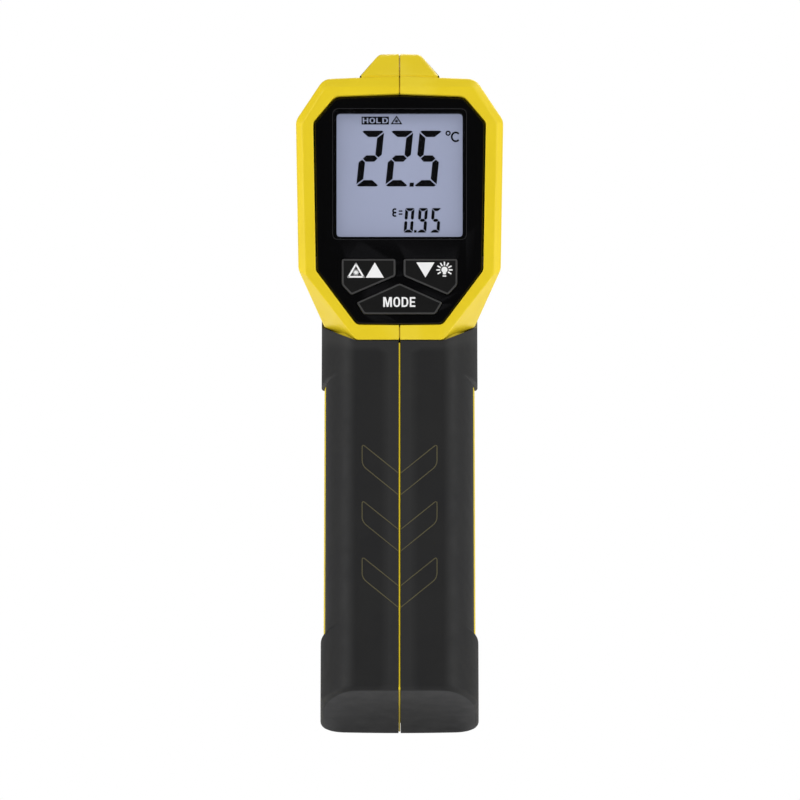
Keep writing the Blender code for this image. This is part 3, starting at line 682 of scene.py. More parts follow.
cover_edge = station_at_depth(cover_reach)
panel_edge = station_at_depth(cover_reach + gap)
door_edge = station_at_half(door_half + gap)
slot_edge = station_at_half(slot_half)
stations = (
    steps_between(0, 1, 4)
    + steps_between(1, cover_edge, 14)
    + [cover_edge]
    + steps_between(panel_edge, 2, 4)
    + steps_between(2, 3, 4)
    + steps_between(3, door_edge, 6)
    + steps_between(door_edge, 4, 4)
    + steps_between(4, slot_edge, 3)
    + steps_between(slot_edge, 5, 3)
    + [5.0]
)


def grid_shell(name, columns, rows, kept, outer, inner, finish):
    """A wall over the kept cells of a grid, from its outer surface to its inner one."""
    wide = len(columns)
    points = [surface(column, row) for surface in (outer, inner) for row in rows for column in columns]
    under = wide * len(rows)
    faces = []
    edges = {}
    for low in range(len(rows) - 1):
        for left in range(wide - 1):
            if not kept((columns[left] + columns[left + 1]) / 2, low):
                continue
            here = low * wide + left
            quad = (here, here + 1, here + 1 + wide, here + wide)
            faces.append(quad)
            faces.append(tuple(index + under for index in reversed(quad)))
            for start, end in zip(quad, quad[1:] + quad[:1]):
                if (end, start) in edges:
                    del edges[(end, start)]
                else:
                    edges[(start, end)] = True
    for start, end in edges:
        faces.append((end, start, start + under, end + under))
    return new_solid(name, points, faces, finish)


def sided(point, side):
    return GRIP @ Vector((side * point.x, point.y, point.z))


def underside_height(depth, clearance=gap):
    """The height on the grip at which a place at this depth meets the head's underside."""
    sine, cosine = math.sin(slant), math.cos(slant)
    rise = depth * (sine + underside_rise * cosine) - clearance
    return grip_length + rise / (cosine - underside_rise * sine)


def levelled(station, height):
    """The collar's lower edge runs level along the grip's sides."""
    depth = section_point(station, 0).y
    rise = max(0.0, depth - side_depth) * math.tan(slant)
    share = min(1.0, max(0.0, (height - 60) / (collar_low - 60)))
    return height + rise * share


def collar_top(point):
    """The height on the grip where the collar meets the head, at a point of the section."""
    corner = min(1.0, max(0.0, (point.x - back_half) / (half_top - back_half)))
    edge = corner * shoulder_corners[4][2] - 0.12
    on_edge = grip_length + (edge + point.y * math.sin(slant)) / math.cos(slant)
    return max(underside_height(point.y), on_edge)


# Grip covers


def make_grip_cover(side):
    step = cover_proud
    lips = [(collar_low + step * t, t) for t in (0, 0.3, 0.6, 1.0)]
    rows = [("base", share) for share in (1.0, 0.5, 0.2)]
    rounding = [base_round * (1 - math.cos(math.pi / 2 * k / 5)) for k in range(6)]
    rows += [("wall", height) for height in rounding]
    rows += [("wall", height) for height in steps_between(3, boot_height - 1, 5)]
    rows += [("wall", boot_height - drop) for drop in (1.0, 0.6, 0.3, 0.0)]
    rows += [("wall", boot_height + 0.15)]
    rows += [("wall", height) for height in steps_between(20, collar_low - 1, 16)]
    rows += [("wall", collar_low - 0.15)]
    rows += [("wall", height) for height, t in lips]
    rows += [("top", share) for share in (0.0, 0.25, 0.5, 0.75, 1.0)]

    def proud(height):
        if height <= boot_height:
            near = max(0.0, height - (boot_height - step)) / step
            return step * math.sqrt(max(0.0, 1 - near**2 * 0.9))
        if height < collar_low:
            return 0.0
        near = max(0.0, collar_low + step - height) / step
        return step * math.sqrt(max(0.0, 1 - near**2 * 0.9))

    def surface(station, row, shrink):
        kind, value = row
        inner = shrink > 0
        if kind == "wall" and value > boot_height + 1:
            value = levelled(station, value)
        if kind == "base":
            rim = section_point(station, 0, shrink + base_round, step, front_depth + step, cover_seam)
            level = core_shrink if inner else 0.0
            return sided(Vector((rim.x + (cover_seam - rim.x) * value, rim.y, level)), side)
        if kind == "wall":
            tuck = 0.0
            if value < base_round:
                tuck = base_round - math.sqrt(base_round**2 - (base_round - value) ** 2)
            depth = front_depth + (proud(value) if value <= boot_height else 0.0)
            point = section_point(station, value, shrink + tuck, proud(row[1]), depth, cover_seam)
            if inner:
                point.z = max(point.z, core_shrink)
            return sided(point, side)
        low = levelled(station, collar_low + step + 0.4)
        flat = section_point(station, low, shrink, step, front_depth, cover_seam)
        high = collar_top(flat)
        height = low + (high - low) * value
        return sided(section_point(station, height, shrink, step, front_depth, cover_seam), side)

    def kept(station, row):
        kind, value = rows[row]
        if kind == "base" or station < cover_edge:
            return True
        if kind == "wall" and value < boot_height:
            return True
        in_collar = kind == "top" or value >= collar_low
        return in_collar and station < 3

    name = "left_grip_cover" if side < 0 else "right_grip_cover"
    cover = grid_shell(
        name,
        stations,
        rows,
        kept,
        lambda station, row: surface(station, row, 0.0),
        lambda station, row: surface(station, row, cover_wall),
        "rubber",
    )
    polish(cover, 0.22, 55, 3, 40)
    # The faces that look straight down take the lighter rubber: painted light on the underside.
    cover.data.materials.append(finishes["lit_underside"].material)
    underside = GRIP_TURN @ Vector((0, 0, -1))
    for face in cover.data.polygons:
        if face.normal.dot(underside) > 0.97:
            face.material_index = 1
    return place(cover, "root", "black_grip", "left_grip" if side < 0 else "right_grip")


head_screws = ((66.0, 20.0), (44.0, 50.0), (24.0, 12.0))
screw_reaches = {(66.0, 20.0): 15.5, (44.0, 50.0): 20.5, (24.0, 12.0): 15.5}
grip_screws = ((9.3, 50.0), (25.0, 8.5), (9.3, 8.5))


def place_copies_tree():
    """A node tree that puts a copy of a shape at each point of the mesh."""
    tree = bpy.data.node_groups.new("place_copies", "GeometryNodeTree")
    face = tree.interface
    face.new_socket("Places", in_out="INPUT", socket_type="NodeSocketGeometry")
    face.new_socket("Shape", in_out="INPUT", socket_type="NodeSocketObject")
    face.new_socket("Size", in_out="INPUT", socket_type="NodeSocketFloat").default_value = 1.0
    face.new_socket("Finish", in_out="INPUT", socket_type="NodeSocketMaterial")
    face.new_socket("Copies", in_out="OUTPUT", socket_type="NodeSocketGeometry")
    given = tree.nodes.new("NodeGroupInput")
    shape = tree.nodes.new("GeometryNodeObjectInfo")
    copies = tree.nodes.new("GeometryNodeInstanceOnPoints")
    real = tree.nodes.new("GeometryNodeRealizeInstances")
    painted = tree.nodes.new("GeometryNodeSetMaterial")
    result = tree.nodes.new("NodeGroupOutput")
    link = tree.links.new
    link(given.outputs["Places"], copies.inputs["Points"])
    link(given.outputs["Shape"], shape.inputs["Object"])
    link(shape.outputs["Geometry"], copies.inputs["Instance"])
    link(given.outputs["Size"], copies.inputs["Scale"])
    link(copies.outputs["Instances"], real.inputs["Geometry"])
    link(real.outputs["Geometry"], painted.inputs["Geometry"])
    link(given.outputs["Finish"], painted.inputs["Material"])
    link(painted.outputs["Geometry"], result.inputs["Copies"])
    return tree


copies_tree = place_copies_tree()


def copies_at(name, places, shape, finish):
    """Copies of a shape at places given in millimetres, as one plain mesh."""
    mesh = bpy.data.meshes.new(name)
    mesh.from_pydata([Vector(spot) * MM for spot in places], [], [])
    made = bpy.data.objects.new(name, mesh)
    bpy.context.collection.objects.link(made)
    change = made.modifiers.new("copies", "NODES")
    change.node_group = copies_tree
    sockets = {item.name: item.identifier for item in copies_tree.interface.items_tree}
    change[sockets["Shape"]] = shape
    change[sockets["Size"]] = 1.0
    change[sockets["Finish"]] = finishes[finish].material
    bake_modifiers(made)
    bpy.data.objects.remove(shape)
    return made


chevron_count = 3
chevron_pitch = 13.77
chevron_corners = ((0.3, 53.0), (8.8, 60.1), (8.8, 54.85), (0.3, 47.7))


def make_chevrons(side):
    """Three chevron outlines, raised from the flat back of a cover."""
    path = soft_run([(side * x, y) for x, y in chevron_corners], (0.9, 1.3), 5, 1)
    on_back = GRIP @ Matrix.Rotation(math.pi / 2, 4, "X")
    line = ribbon("chevron", path, 0.25, -0.06, 0.05, on_back, "chevron")
    along = (GRIP_TURN @ Vector((0, 0, -chevron_pitch))).xyz
    places = [along * number for number in range(chevron_count)]
    name = "left_chevrons" if side < 0 else "right_chevrons"
    lines = copies_at(name, places, line, "chevron")
    polish(lines, 0.04, 50, 2)
    return place(lines, "root", "black_grip")


# Housing


def head_ring(corners, radii, reach):
    run = soft_run(corners, radii)
    return [Vector((point.x, reach, point.y)) for point in run]


def face_ring(corners, radii, depth):
    run = soft_run(corners, radii)
    return [FACE_TURN @ Vector((point.x, point.y, -depth)) for point in run]


def seam_tongue(name, loop, where):
    """A tongue that fills the parting line a little below the surface; its darker yellow is painted shade in
    the gap.
    """
    flat = inset([(point.y, point.z) for point in loop], 0.4)
    return prism(name, flat, -0.5, 0.5, where @ SIDEWAYS, "seam")


def head_half(side):
    rings = [
        face_ring(inset_half(panel_corners, -gap), panel_radii, 3.4),
        face_ring(inset_half(panel_corners, -gap), panel_radii, 0.0),
        face_ring(face_corners, face_radii, 0.0),
        soft_run(shoulder_corners, shoulder_radii),
        head_ring(throat_corners, throat_radii, 40.0),
        head_ring(front_corners, front_radii, barrel_reach),
        head_ring(inset_half(front_corners, 2.0), front_radii, barrel_reach),
        head_ring(inset_half(throat_corners, 2.0), throat_radii, 40.0),
        face_ring(rear_corners, face_radii, 5.4),
    ]
    radii = (0.3, 0.3, 0.35, 0.7, 9.0, 0.3, 0.3, 0.0, 0.3)
    columns = []
    for column in range(len(rings[0])):
        loop = [ring[column].copy() for ring in rings]
        if column in (0, len(rings[0]) - 1):
            for point in loop:
                point.x = half_seam
        columns.append(soft_loop(loop, radii))
    lofted = [
        [HEAD @ Vector((side * point.x, point.y, point.z)) for point in column]
        for column in columns
    ]
    head = loft("head", lofted, "yellow")
    solids = [head]
    if side < 0:
        for column in (0, -1):
            solids.append(seam_tongue("tongue", [ring[column] for ring in rings], HEAD))
    return solids


def ridge_half(side):
    def ring(reach, base, half, top_half, height):
        corners = ((0, base + height), (top_half, base + height - 0.12), (half, base))
        corners += ((half, base - 3.0), (0, base - 3.0))
        run = soft_run(corners, (0.8, 0.05, 0.05), 5, 2)
        return [Vector((max(point.x, half_seam), reach, point.y)) for point in run]

    start = ring(13.9, crest_height, 9.05, 8.6, 0.25)
    full = ring(21.0, crest_height, 9.05, 4.8, 5.25)
    end = ring(barrel_reach, 58.75, 8.05, 4.2, 5.4)
    columns = []
    for first, second, third in zip(start, full, end):
        before = second + (first - second).normalized() * 1.2
        after = second + (third - second).normalized() * 1.2
        columns.append([first, before, *curve_through(before, second, after, 5), third])
    lofted = [
        [HEAD @ Vector((side * column[step].x, column[step].y, column[step].z)) for column in columns]
        for step in range(len(columns[0]))
    ]
    solids = [loft("ridge", lofted, "yellow")]
    if side < 0:
        loop = [start[0], full[0], end[0], end[-1], start[-1]]
        solids.append(seam_tongue("tongue", loop, HEAD))
    return solids


def grip_half(side):
    """The core under the covers and the yellow panels between them."""
    heights = (
        [2.1]
        + [boot_height + gap]
        + steps_between(24, door_top, 8)
        + [door_top + gap, slot_low, collar_low - gap, 84.0, 86.0, 88.0, 90.0]
    )

    def opened(station, low):
        middle = (heights[low] + heights[low + 1]) / 2
        in_door = station > door_edge and boot_height + gap < middle < door_top + gap
        return in_door or (station > slot_edge and middle > slot_low)

    def wall(shrink):
        def surface(station, height):
            point = section_point(station, height, shrink, 0.0, front_depth, half_seam)
            if height > 84:
                share = (height - 84) / 6
                point.z = 84 + (underside_height(point.y, -head_overlap) - 84) * share
            return sided(point, side)

        return surface

    def panel_wall(shrink):
        surface = wall(shrink)
        return lambda station, height: surface(
            station, levelled(station, height) if station <= 3 and height < 84 else height
        )

    def on_panel(station, low):
        middle = (heights[low] + heights[low + 1]) / 2
        if opened(station, low) or station < panel_edge or middle < boot_height + gap:
            return False
        return middle < collar_low - gap or station > 3

    core = grid_shell(
        "core",
        stations,
        heights,
        lambda station, low: not opened(station, low),
        wall(core_shrink),
        wall(core_shrink + core_wall),
        "yellow",
    )
    panel_face, panel_back = panel_wall(0.0), panel_wall(core_shrink + 0.5)
    panels = grid_shell("panels", stations, heights, on_panel, panel_face, panel_back, "yellow")
    solids = [core, panels]
    base = [section_point(station, 2.1, core_shrink, 0.0, front_depth, half_seam) for station in stations]
    floor = [(side * point.x, point.y) for point in base]
    solids.append(prism("base", floor, 2.1, 4.1, GRIP, "yellow"))
    if side < 0:
        front = front_depth - 1.2
        edge = [(0.1, 84.9), (0.1, 0.1), (front, 0.1), (front, 2.3), (2.1, 2.3), (2.1, 84.9)]
        solids.append(prism("rib", edge, -0.24, 0.18, GRIP @ SIDEWAYS, "yellow"))
        # Painted shade: the front rib takes the darker yellow for the shade in the gap between the door and
        # the slot.
        near = [(front_depth - 2.0, door_top + 0.4), (front_depth - 0.4, door_top + 0.4)]
        near += [(front_depth - 0.4, slot_low - 0.2), (front_depth - 2.0, slot_low - 0.2)]
        solids.append(prism("front rib", near, -0.4, 0.4, GRIP @ SIDEWAYS, "seam"))
    return solids


def inner_walls(side):
    """Battery compartment, sensor rib and switch shelf in one half of the housing."""
    inner, outer = sorted((side * half_seam, side * 14.9))
    low, high = sorted((side * half_seam, side * 15.6))
    walls = [
        block("floor", (inner, 4, 16.6), (outer, 32, 18.6), GRIP, "yellow"),
        block("partition", (inner, 12.0, 18.0), (outer, 13.5, 72), GRIP, "yellow"),
        block("shelf", (low, 24, -11), (high, 28.5, -8.3), HEAD, "yellow"),
    ]
    near, far = sorted((side * 10.3, side * 14.9))
    lug = cross_rod("lug", 2.4, near, far, door_pivot, GRIP, "yellow")
    walls.append(lug)
    walls.append(block("web", (near, 32.4, 17.9), (far, door_pivot[0], 21.9), GRIP, "yellow"))
    return walls


def make_housing(side):
    name = "left_shell" if side < 0 else "right_shell"
    solids = head_half(side)
    slot = [(29.4, -21.4), (50.5, -21.4), (50.5, 14.5), (29.4, 14.5)]
    cutter = prism("slot", slot, -slot_half, slot_half, HEAD @ SIDEWAYS, "yellow")
    cut(solids[0], cutter)
    if side > 0:
        for centre in head_screws:
            cut(solids[0], cross_rod("well", 2.8, 5.0, 40, centre, HEAD, "yellow"))
    else:
        slot_again = prism("slot", slot, -slot_half, slot_half, HEAD @ SIDEWAYS, "yellow")
        cut(solids[-1], slot_again)
    polish(solids[0], 0.12, 60, 2)
    ridge = ridge_half(side)
    for solid in ridge:
        polish(solid, 0.12, 60, 2)
    grip = grip_half(side)
    if side > 0:
        for centre in grip_screws:
            cut(grip[0], cross_rod("well", 2.8, 5.0, 40, centre, GRIP, "yellow"))
    for solid in grip:
        polish(solid, 0.15, 60, 2)
    walls = inner_walls(side)
    for wall in walls:
        polish(wall, 0.3, 60, 2)
    seats = []
    if side > 0:
        for where, centres in ((HEAD, head_screws), (GRIP, grip_screws)):
            for centre in centres:
                along = where @ Matrix.Translation((0, *centre)) @ SIDEWAYS
                reach = screw_reaches.get(centre, 15.0)
                tube = [(1.6, 0.2), (3.2, 0.2), (3.2, reach), (2.8, reach), (2.8, 5.0), (1.6, 5.0)]
                seats.append(polish(turned("seat", tube, along, "yellow", 40, hollow=True)))
    shell = unite(name, *solids, *ridge, *grip, *walls, *seats)
    return place(shell, "root", "yellow_shell", "left_housing" if side < 0 else "right_housing")


# Display panel


panel_face = 1.0  # depth of the black panel below the rim
view_half, view_low, view_top = 14.8, 25.1, 54.5
key_shapes = {
    "light_down_key": ((0.99, 19.5), (0.99, 15.4), (11.36, 10.9), (13.56, 13.3), (13.56, 19.5)),
    "laser_up_key": ((-13.56, 19.5), (-13.56, 13.3), (-11.36, 10.9), (-0.99, 15.4), (-0.99, 19.5)),
    "mode_key": ((0, 13.7), (10.1, 9.1), (8.4, 6.3), (-8.4, 6.3), (-10.1, 9.1)),
}


def make_panel():
    outline = mirrored([tuple(point) for point in soft_run(panel_corners, panel_radii, 5, 3)])
    panel = slab("front_panel", outline, -panel_face, -3.6, FACE, "gloss", 0.35)
    seat = soft_outline(rectangle(view_half + 0.85, view_low - 0.85, view_top + 0.85), 1.3)
    cut(panel, prism("seat", seat, 1, -2.65, FACE, "gloss"))
    view = soft_outline(rectangle(view_half, view_low, view_top), 0.9)
    cut(panel, prism("view", view, 1, -10, FACE, "gloss"))
    for corners in key_shapes.values():
        hole = soft_outline(inset(corners, -0.16), 0.65)
        cut(panel, prism("key hole", hole, 1, -10, FACE, "gloss"))
    polish(panel, 0.07, 60, 2)
    place(panel, "root", "black_panel", "display_bezel")
    # Painted highlight: a thin lighter ring just outside the window opening, for the glint along its
    # bevelled edge.
    border = soft_outline(rectangle(view_half + 1.0, view_low - 1.0, view_top + 1.0), 1.45)
    window_highlight = tube("window_trim", border, inset(border, 0.16), -1.2, -0.97, FACE, "window_highlight")
    place(polish(window_highlight), "root", "black_panel")
    pane = soft_outline(rectangle(view_half + 0.7, view_low - 0.7, view_top + 0.7), 1.2)
    window = polish(slab("window_pane", pane, -1.15, -2.35, FACE, "window", 0.12))
    place(window, "root", "clear_window", "display_window")


def make_key(name):
    """A key cap with a raised lighter border."""
    outline = soft_outline(key_shapes[name], 0.55)
    # Distance in from the outline, and depth below the panel's face
    levels = [
        (0.42, 0.7),
        (0.34, 0.66),
        (0.22, 0.64),
        (0.1, 0.66),
        (0.02, 0.74),
        (0.0, 0.9),
        (0.0, 4.4),
    ]
    rings = []
    for distance, depth in levels:
        ring = inset(outline, distance) if distance else outline
        rings.append([FACE @ Vector((a, b, -depth)) for a, b in ring])
    cap = loft(name + "_cap", rings, "key")
    cap.data.materials.append(finishes["key_edge"].material)
    lift = FACE.inverted()
    for face in cap.data.polygons:
        spot = lift @ (face.center / MM)
        if -0.9 < spot.z < -0.63 and len(face.vertices) == 4:
            face.material_index = 1
    polish(cap, smooth=50)
    return place(cap, name, "key_plastic", name)


mark_depth = 0.72  # from the panel's face to the foot of a printed sign


def oblong(left, right, low, high):
    """The outline of an upright rectangle."""
    return [(left, low), (right, low), (right, high), (left, high)]


def mark(name, outline):
    """A printed shape on a key top."""
    return prism(name, outline, -mark_depth - 0.02, -mark_depth + 0.06, FACE, "white")


def make_key_marks():
    edge = [(-12.35, 15.0), (-8.15, 15.0), (-10.25, 18.65)]
    outer = soft_outline(edge, 0.12, 2)
    inner = inset(outer, 0.42)
    rings = [
        [FACE @ Vector((a, b, -depth)) for a, b in ring]
        for ring, depth in ((outer, 0.72), (outer, 0.64), (inner, 0.64), (inner, 0.72))
    ]
    frame_mark = loft("triangle", rings, "white", closed_ring=True)
    burst = star((-10.25, 16.25), 0.32, 1.0, 12)
    up = mark("up", [(-7.95, 15.0), (-3.7, 15.0), (-5.82, 18.65)])
    parts = [frame_mark, mark("burst", burst), up]
    place(polish(unite("laser_up_marks", *parts)), "laser_up_key", "key_plastic")
    down = mark("down", [(3.95, 18.65), (8.2, 18.65), (6.07, 15.05)])
    parts = [down, *bulb_marks((10.55, 16.75))]
    place(polish(unite("light_down_marks", *parts)), "light_down_key", "key_plastic")
    word = lettering("mode_marks", "MODE", (0, 9.2), 7.7, 2.35, FACE, -0.7, "white")
    place(polish(word), "mode_key", "key_plastic")


def star(centre, inner, outer, points):
    outline = []
    for step in range(points * 2):
        turn = math.pi * step / points + math.pi / 2
        reach = outer if step % 2 == 0 else inner
        outline.append((centre[0] + reach * math.cos(turn), centre[1] + reach * math.sin(turn)))
    return outline


def bulb_marks(centre):
    """A lamp with rays around it."""
    x, y = centre
    globe = []
    for step in range(25):
        turn = math.radians(-60 + 300 * step / 24)
        globe.append((x + 0.72 * math.cos(turn), y + 0.15 + 0.72 * math.sin(turn)))
    globe += [(x - 0.36, y - 0.95), (x + 0.36, y - 0.95)]
    parts = [mark("globe", globe), mark("cap", oblong(x - 0.42, x + 0.42, y - 1.5, y - 1.2))]
    rays = 9
    for ray in range(rays):
        turn = math.radians(-32 + 244 * ray / (rays - 1))
        along = Vector((math.cos(turn), math.sin(turn)))
        start = Vector((x, y + 0.15)) + along * 1.0
        end = Vector((x, y + 0.15)) + along * 1.9
        path = [tuple(start), tuple(end)]
        parts.append(ribbon("ray", path, 0.33, -0.74, -0.66, FACE, "white"))
    return parts


# Letters as outlines in a unit square, each with the hole inside it, if any
letter_shapes = {
    "D": (
        [(0, 0), (0.5, 0), (0.82, 0.08), (1, 0.35), (1, 0.65), (0.82, 0.92), (0.5, 1), (0, 1)],
        [(0.26, 0.16), (0.5, 0.16), (0.66, 0.2), (0.74, 0.38), (0.74, 0.62), (0.66, 0.8),
         (0.5, 0.84), (0.26, 0.84)],
    ),
    "E": (
        [(0, 0), (0.9, 0), (0.9, 0.17), (0.27, 0.17), (0.27, 0.42), (0.82, 0.42), (0.82, 0.58), (0.27, 0.58),
         (0.27, 0.83), (0.9, 0.83), (0.9, 1), (0, 1)],
        None,
    ),
    "H": (
        [(0, 0), (0.26, 0), (0.26, 0.42), (0.74, 0.42), (0.74, 0), (1, 0), (1, 1), (0.74, 1), (0.74, 0.59),
         (0.26, 0.59), (0.26, 1), (0, 1)],
        None,
    ),
    "L": ([(0, 0), (0.9, 0), (0.9, 0.17), (0.27, 0.17), (0.27, 1), (0, 1)], None),
    "M": (
        [(0, 0), (0.21, 0), (0.21, 0.68), (0.41, 0), (0.59, 0), (0.79, 0.68), (0.79, 0), (1, 0), (1, 1),
         (0.7, 1), (0.5, 0.36), (0.3, 1), (0, 1)],
        None,
    ),
    "O": (
        [(0, 0.3), (0.16, 0.06), (0.5, -0.02), (0.84, 0.06), (1, 0.3), (1, 0.7), (0.84, 0.94), (0.5, 1.02),
         (0.16, 0.94), (0, 0.7)],
        [(0.26, 0.32), (0.33, 0.19), (0.5, 0.14), (0.67, 0.19), (0.74, 0.32), (0.74, 0.68), (0.67, 0.81),
         (0.5, 0.86), (0.33, 0.81), (0.26, 0.68)],
    ),
}
letter_widths = {"M": 1.3, "E": 0.92, "L": 0.88}


def tube(name, outer, inner, low, high, where, finish):
    """A prism with a hole, from two outlines of as many points."""
    steps = ((outer, low), (outer, high), (inner, high), (inner, low))
    rings = [[where @ Vector((a, b, level)) for a, b in ring] for ring, level in steps]
    return loft(name, rings, finish, closed_ring=True)


def lettering(name, word, centre, width, height, where, level, finish):
    """Plain upright capitals of a given overall width and height, as thin solids."""
    space = 0.22
    widths = [letter_widths.get(letter, 1.0) for letter in word]
    unit = width / (sum(widths) + space * (len(word) - 1))
    left = centre[0] - width / 2
    low = centre[1] - height / 2
    parts = []
    for letter, wide in zip(word, widths):
        outline, hole = letter_shapes[letter]
        flat = [(left + a * wide * unit, low + b * height) for a, b in outline]
        if hole:
            inner = [(left + a * wide * unit, low + b * height) for a, b in hole]
            parts.append(tube("letter", flat, inner, level - 0.04, level + 0.04, where, finish))
        else:
            parts.append(prism("letter", flat, level - 0.04, level + 0.04, where, finish))
        left += (wide + space) * unit
    return unite(name, *parts)


# Display contents. A digit's segments are named a to g, clockwise from the top with g across.

display_depth = 3.9
segment_lift = 0.06
lit = {
    "0": "abcdef",
    "2": "abged",
    "5": "afgcd",
    "9": "abcdfg",
}


def shown_height(rise):
    """The height up the face of a place on the display cell seen level at a rise above the chin."""
    return (rise + display_depth * math.sin(tilt)) / math.cos(tilt)


def digit(character, left, low, width, height, thick, lean):
    """Seven-segment strokes with mitred ends."""
    half = thick / 2
    split = thick * 0.09
    right, top = left + width, low + height
    middle = low + height / 2
    corner = thick * 0.28
    left_end, right_end = left + thick + split, right - thick - split
    low_end, top_end = low + thick, top - thick
    above, below = middle + half + split, middle - half - split
    shapes = {
        "a": [
            (left + split + corner, top),
            (right - split - corner, top),
            (right - split, top - corner * 0.6),
            (right_end, top_end),
            (left_end, top_end),
            (left + split, top - corner * 0.6),
        ],
        "d": [
            (left + split + corner, low),
            (left + split, low + corner * 0.6),
            (left_end, low_end),
            (right_end, low_end),
            (right - split, low + corner * 0.6),
            (right - split - corner, low),
        ],
        "g": [
            (left + half + split, middle),
            (left_end, middle + half),
            (right_end, middle + half),
            (right - half - split, middle),
            (right_end, middle - half),
            (left_end, middle - half),
        ],
        "f": [
            (left, top - thick * 0.35),
            (left + thick, top_end - split * 2),
            (left + thick, above),
            (left + half, middle + split * 2),
            (left, above),
        ],
        "b": [
            (right, top - thick * 0.35),
            (right, above),
            (right - half, middle + split * 2),
            (right - thick, above),
            (right - thick, top_end - split * 2),
        ],
        "e": [
            (left, below),
            (left + half, middle - split * 2),
            (left + thick, below),
            (left + thick, low_end + split * 2),
            (left, low + thick * 0.35),
        ],
        "c": [
            (right, below),
            (right, low + thick * 0.35),
            (right - thick, low_end + split * 2),
            (right - thick, below),
            (right - half, middle - split * 2),
        ],
    }
    strokes = []
    for segment in lit[character]:
        outline = [(x + lean * (y - low) / height, y) for x, y in shapes[segment]]
        strokes.append(on_cell("segment", outline))
    return strokes


def on_cell(name, outline, lift=segment_lift, finish="segment"):
    return prism(name, outline, -display_depth + 0.01, -display_depth + lift, FACE, finish)


def make_readings():
    parts = []
    low = shown_height(36.1)
    height = shown_height(49.2) - low
    for character, left in (("2", -10.2), ("2", -3.35), ("5", 3.4)):
        parts += digit(character, left, low, 5.25, height, 1.5, 1.35)
    point = [(2.3, low - 0.05), (3.3, low - 0.05), (3.4, low + 0.9), (2.4, low + 0.9)]
    parts.append(on_cell("point", point))
    small_low = shown_height(25.25)
    small = shown_height(31.0) - small_low
    for character, left in (("0", 0.95), ("9", 4.1), ("5", 7.2)):
        parts += digit(character, left, small_low, 2.15, small, 0.7, 0.42)
    parts.append(on_cell("point", oblong(3.4, 4.0, small_low, small_low + 0.6)))
    # Degree sign and C
    parts.append(ring_mark((11.4, shown_height(48.6)), 0.3, 0.62))
    parts.append(arc_stroke((13.2, shown_height(47.75)), 0.95, 1.05, 42, 318, 0.42))
    # Emissivity sign: two open bowls, then two bars
    mid = shown_height(29.95)
    for rise in (0.42, -0.42):
        parts.append(arc_stroke((-1.1, mid + rise), 0.45, 0.42, 50, 310, 0.38))
    for rise in (0.36, -0.36):
        bar = oblong(-0.2, 0.68, mid + rise - 0.16, mid + rise + 0.16)
        parts.append(on_cell("bar", bar))
    # Held reading: a dark plate with pale letters, and the laser triangle
    plate_low, plate_high = shown_height(50.65), shown_height(52.5)
    parts.append(on_cell("plate", oblong(-8.93, -2.5, plate_low, plate_high)))
    level = -display_depth + segment_lift + 0.02
    centre = (-5.7, (plate_low + plate_high) / 2)
    parts.append(lettering("hold", "HOLD", centre, 5.9, 1.25, FACE, level, "display"))
    base, peak = shown_height(50.7), shown_height(52.75)
    edge = soft_outline([(-2.1, base), (0.65, base), (-0.72, peak)], 0.08, 2)
    inner = inset(edge, 0.26)
    rings = [
        [FACE @ Vector((a, b, -display_depth + level)) for a, b in ring]
        for ring, level in ((edge, 0.01), (edge, segment_lift), (inner, segment_lift), (inner, 0.01))
    ]
    parts.append(loft("triangle", rings, "segment", closed_ring=True))
    parts.append(on_cell("burst", star((-0.72, base + 0.76), 0.22, 0.55, 10)))
    readings = polish(unite("display_segments", *parts), smooth=30, weighted=False)
    place(readings, "root", "display")


def ring_mark(centre, inner, outer):
    """A round ring on the display's cell."""
    x, y = centre
    turns = [2 * math.pi * step / 32 for step in range(32)]
    edges = ((outer, 0.01), (outer, segment_lift), (inner, segment_lift), (inner, 0.01))
    rings = []
    for radius, level in edges:
        depth = -display_depth + level
        rings.append([
            FACE @ Vector((x + radius * math.cos(turn), y + radius * math.sin(turn), depth))
            for turn in turns
        ])
    return loft("ring", rings, "segment", closed_ring=True)


def arc_stroke(centre, across, up, start, end, width):
    """A curved stroke on the display's cell, between two angles."""
    path = []
    for step in range(21):
        turn = math.radians(start + (end - start) * step / 20)
        path.append((centre[0] + across * math.cos(turn), centre[1] + up * math.sin(turn)))
    foot, top = -display_depth + 0.01, -display_depth + segment_lift
    return ribbon("arc", path, width, foot, top, FACE, "segment")


# Nose, trigger, door, battery and screws


def whole_ring(corners, radii, reach):
    half = head_ring(corners, radii, reach)
    left = [Vector((-point.x, point.y, point.z)) for point in reversed(half[1:-1])]
    return half + left


def round_ring(radius, reach, like):
    """A circle about the sensor's axis with its points in line with another ring's."""
    ring = []
    for point in like:
        turn = math.atan2(point.z - bore_height, point.x)
        ring.append(Vector((radius * math.cos(turn), reach, bore_height + radius * math.sin(turn))))
    return ring


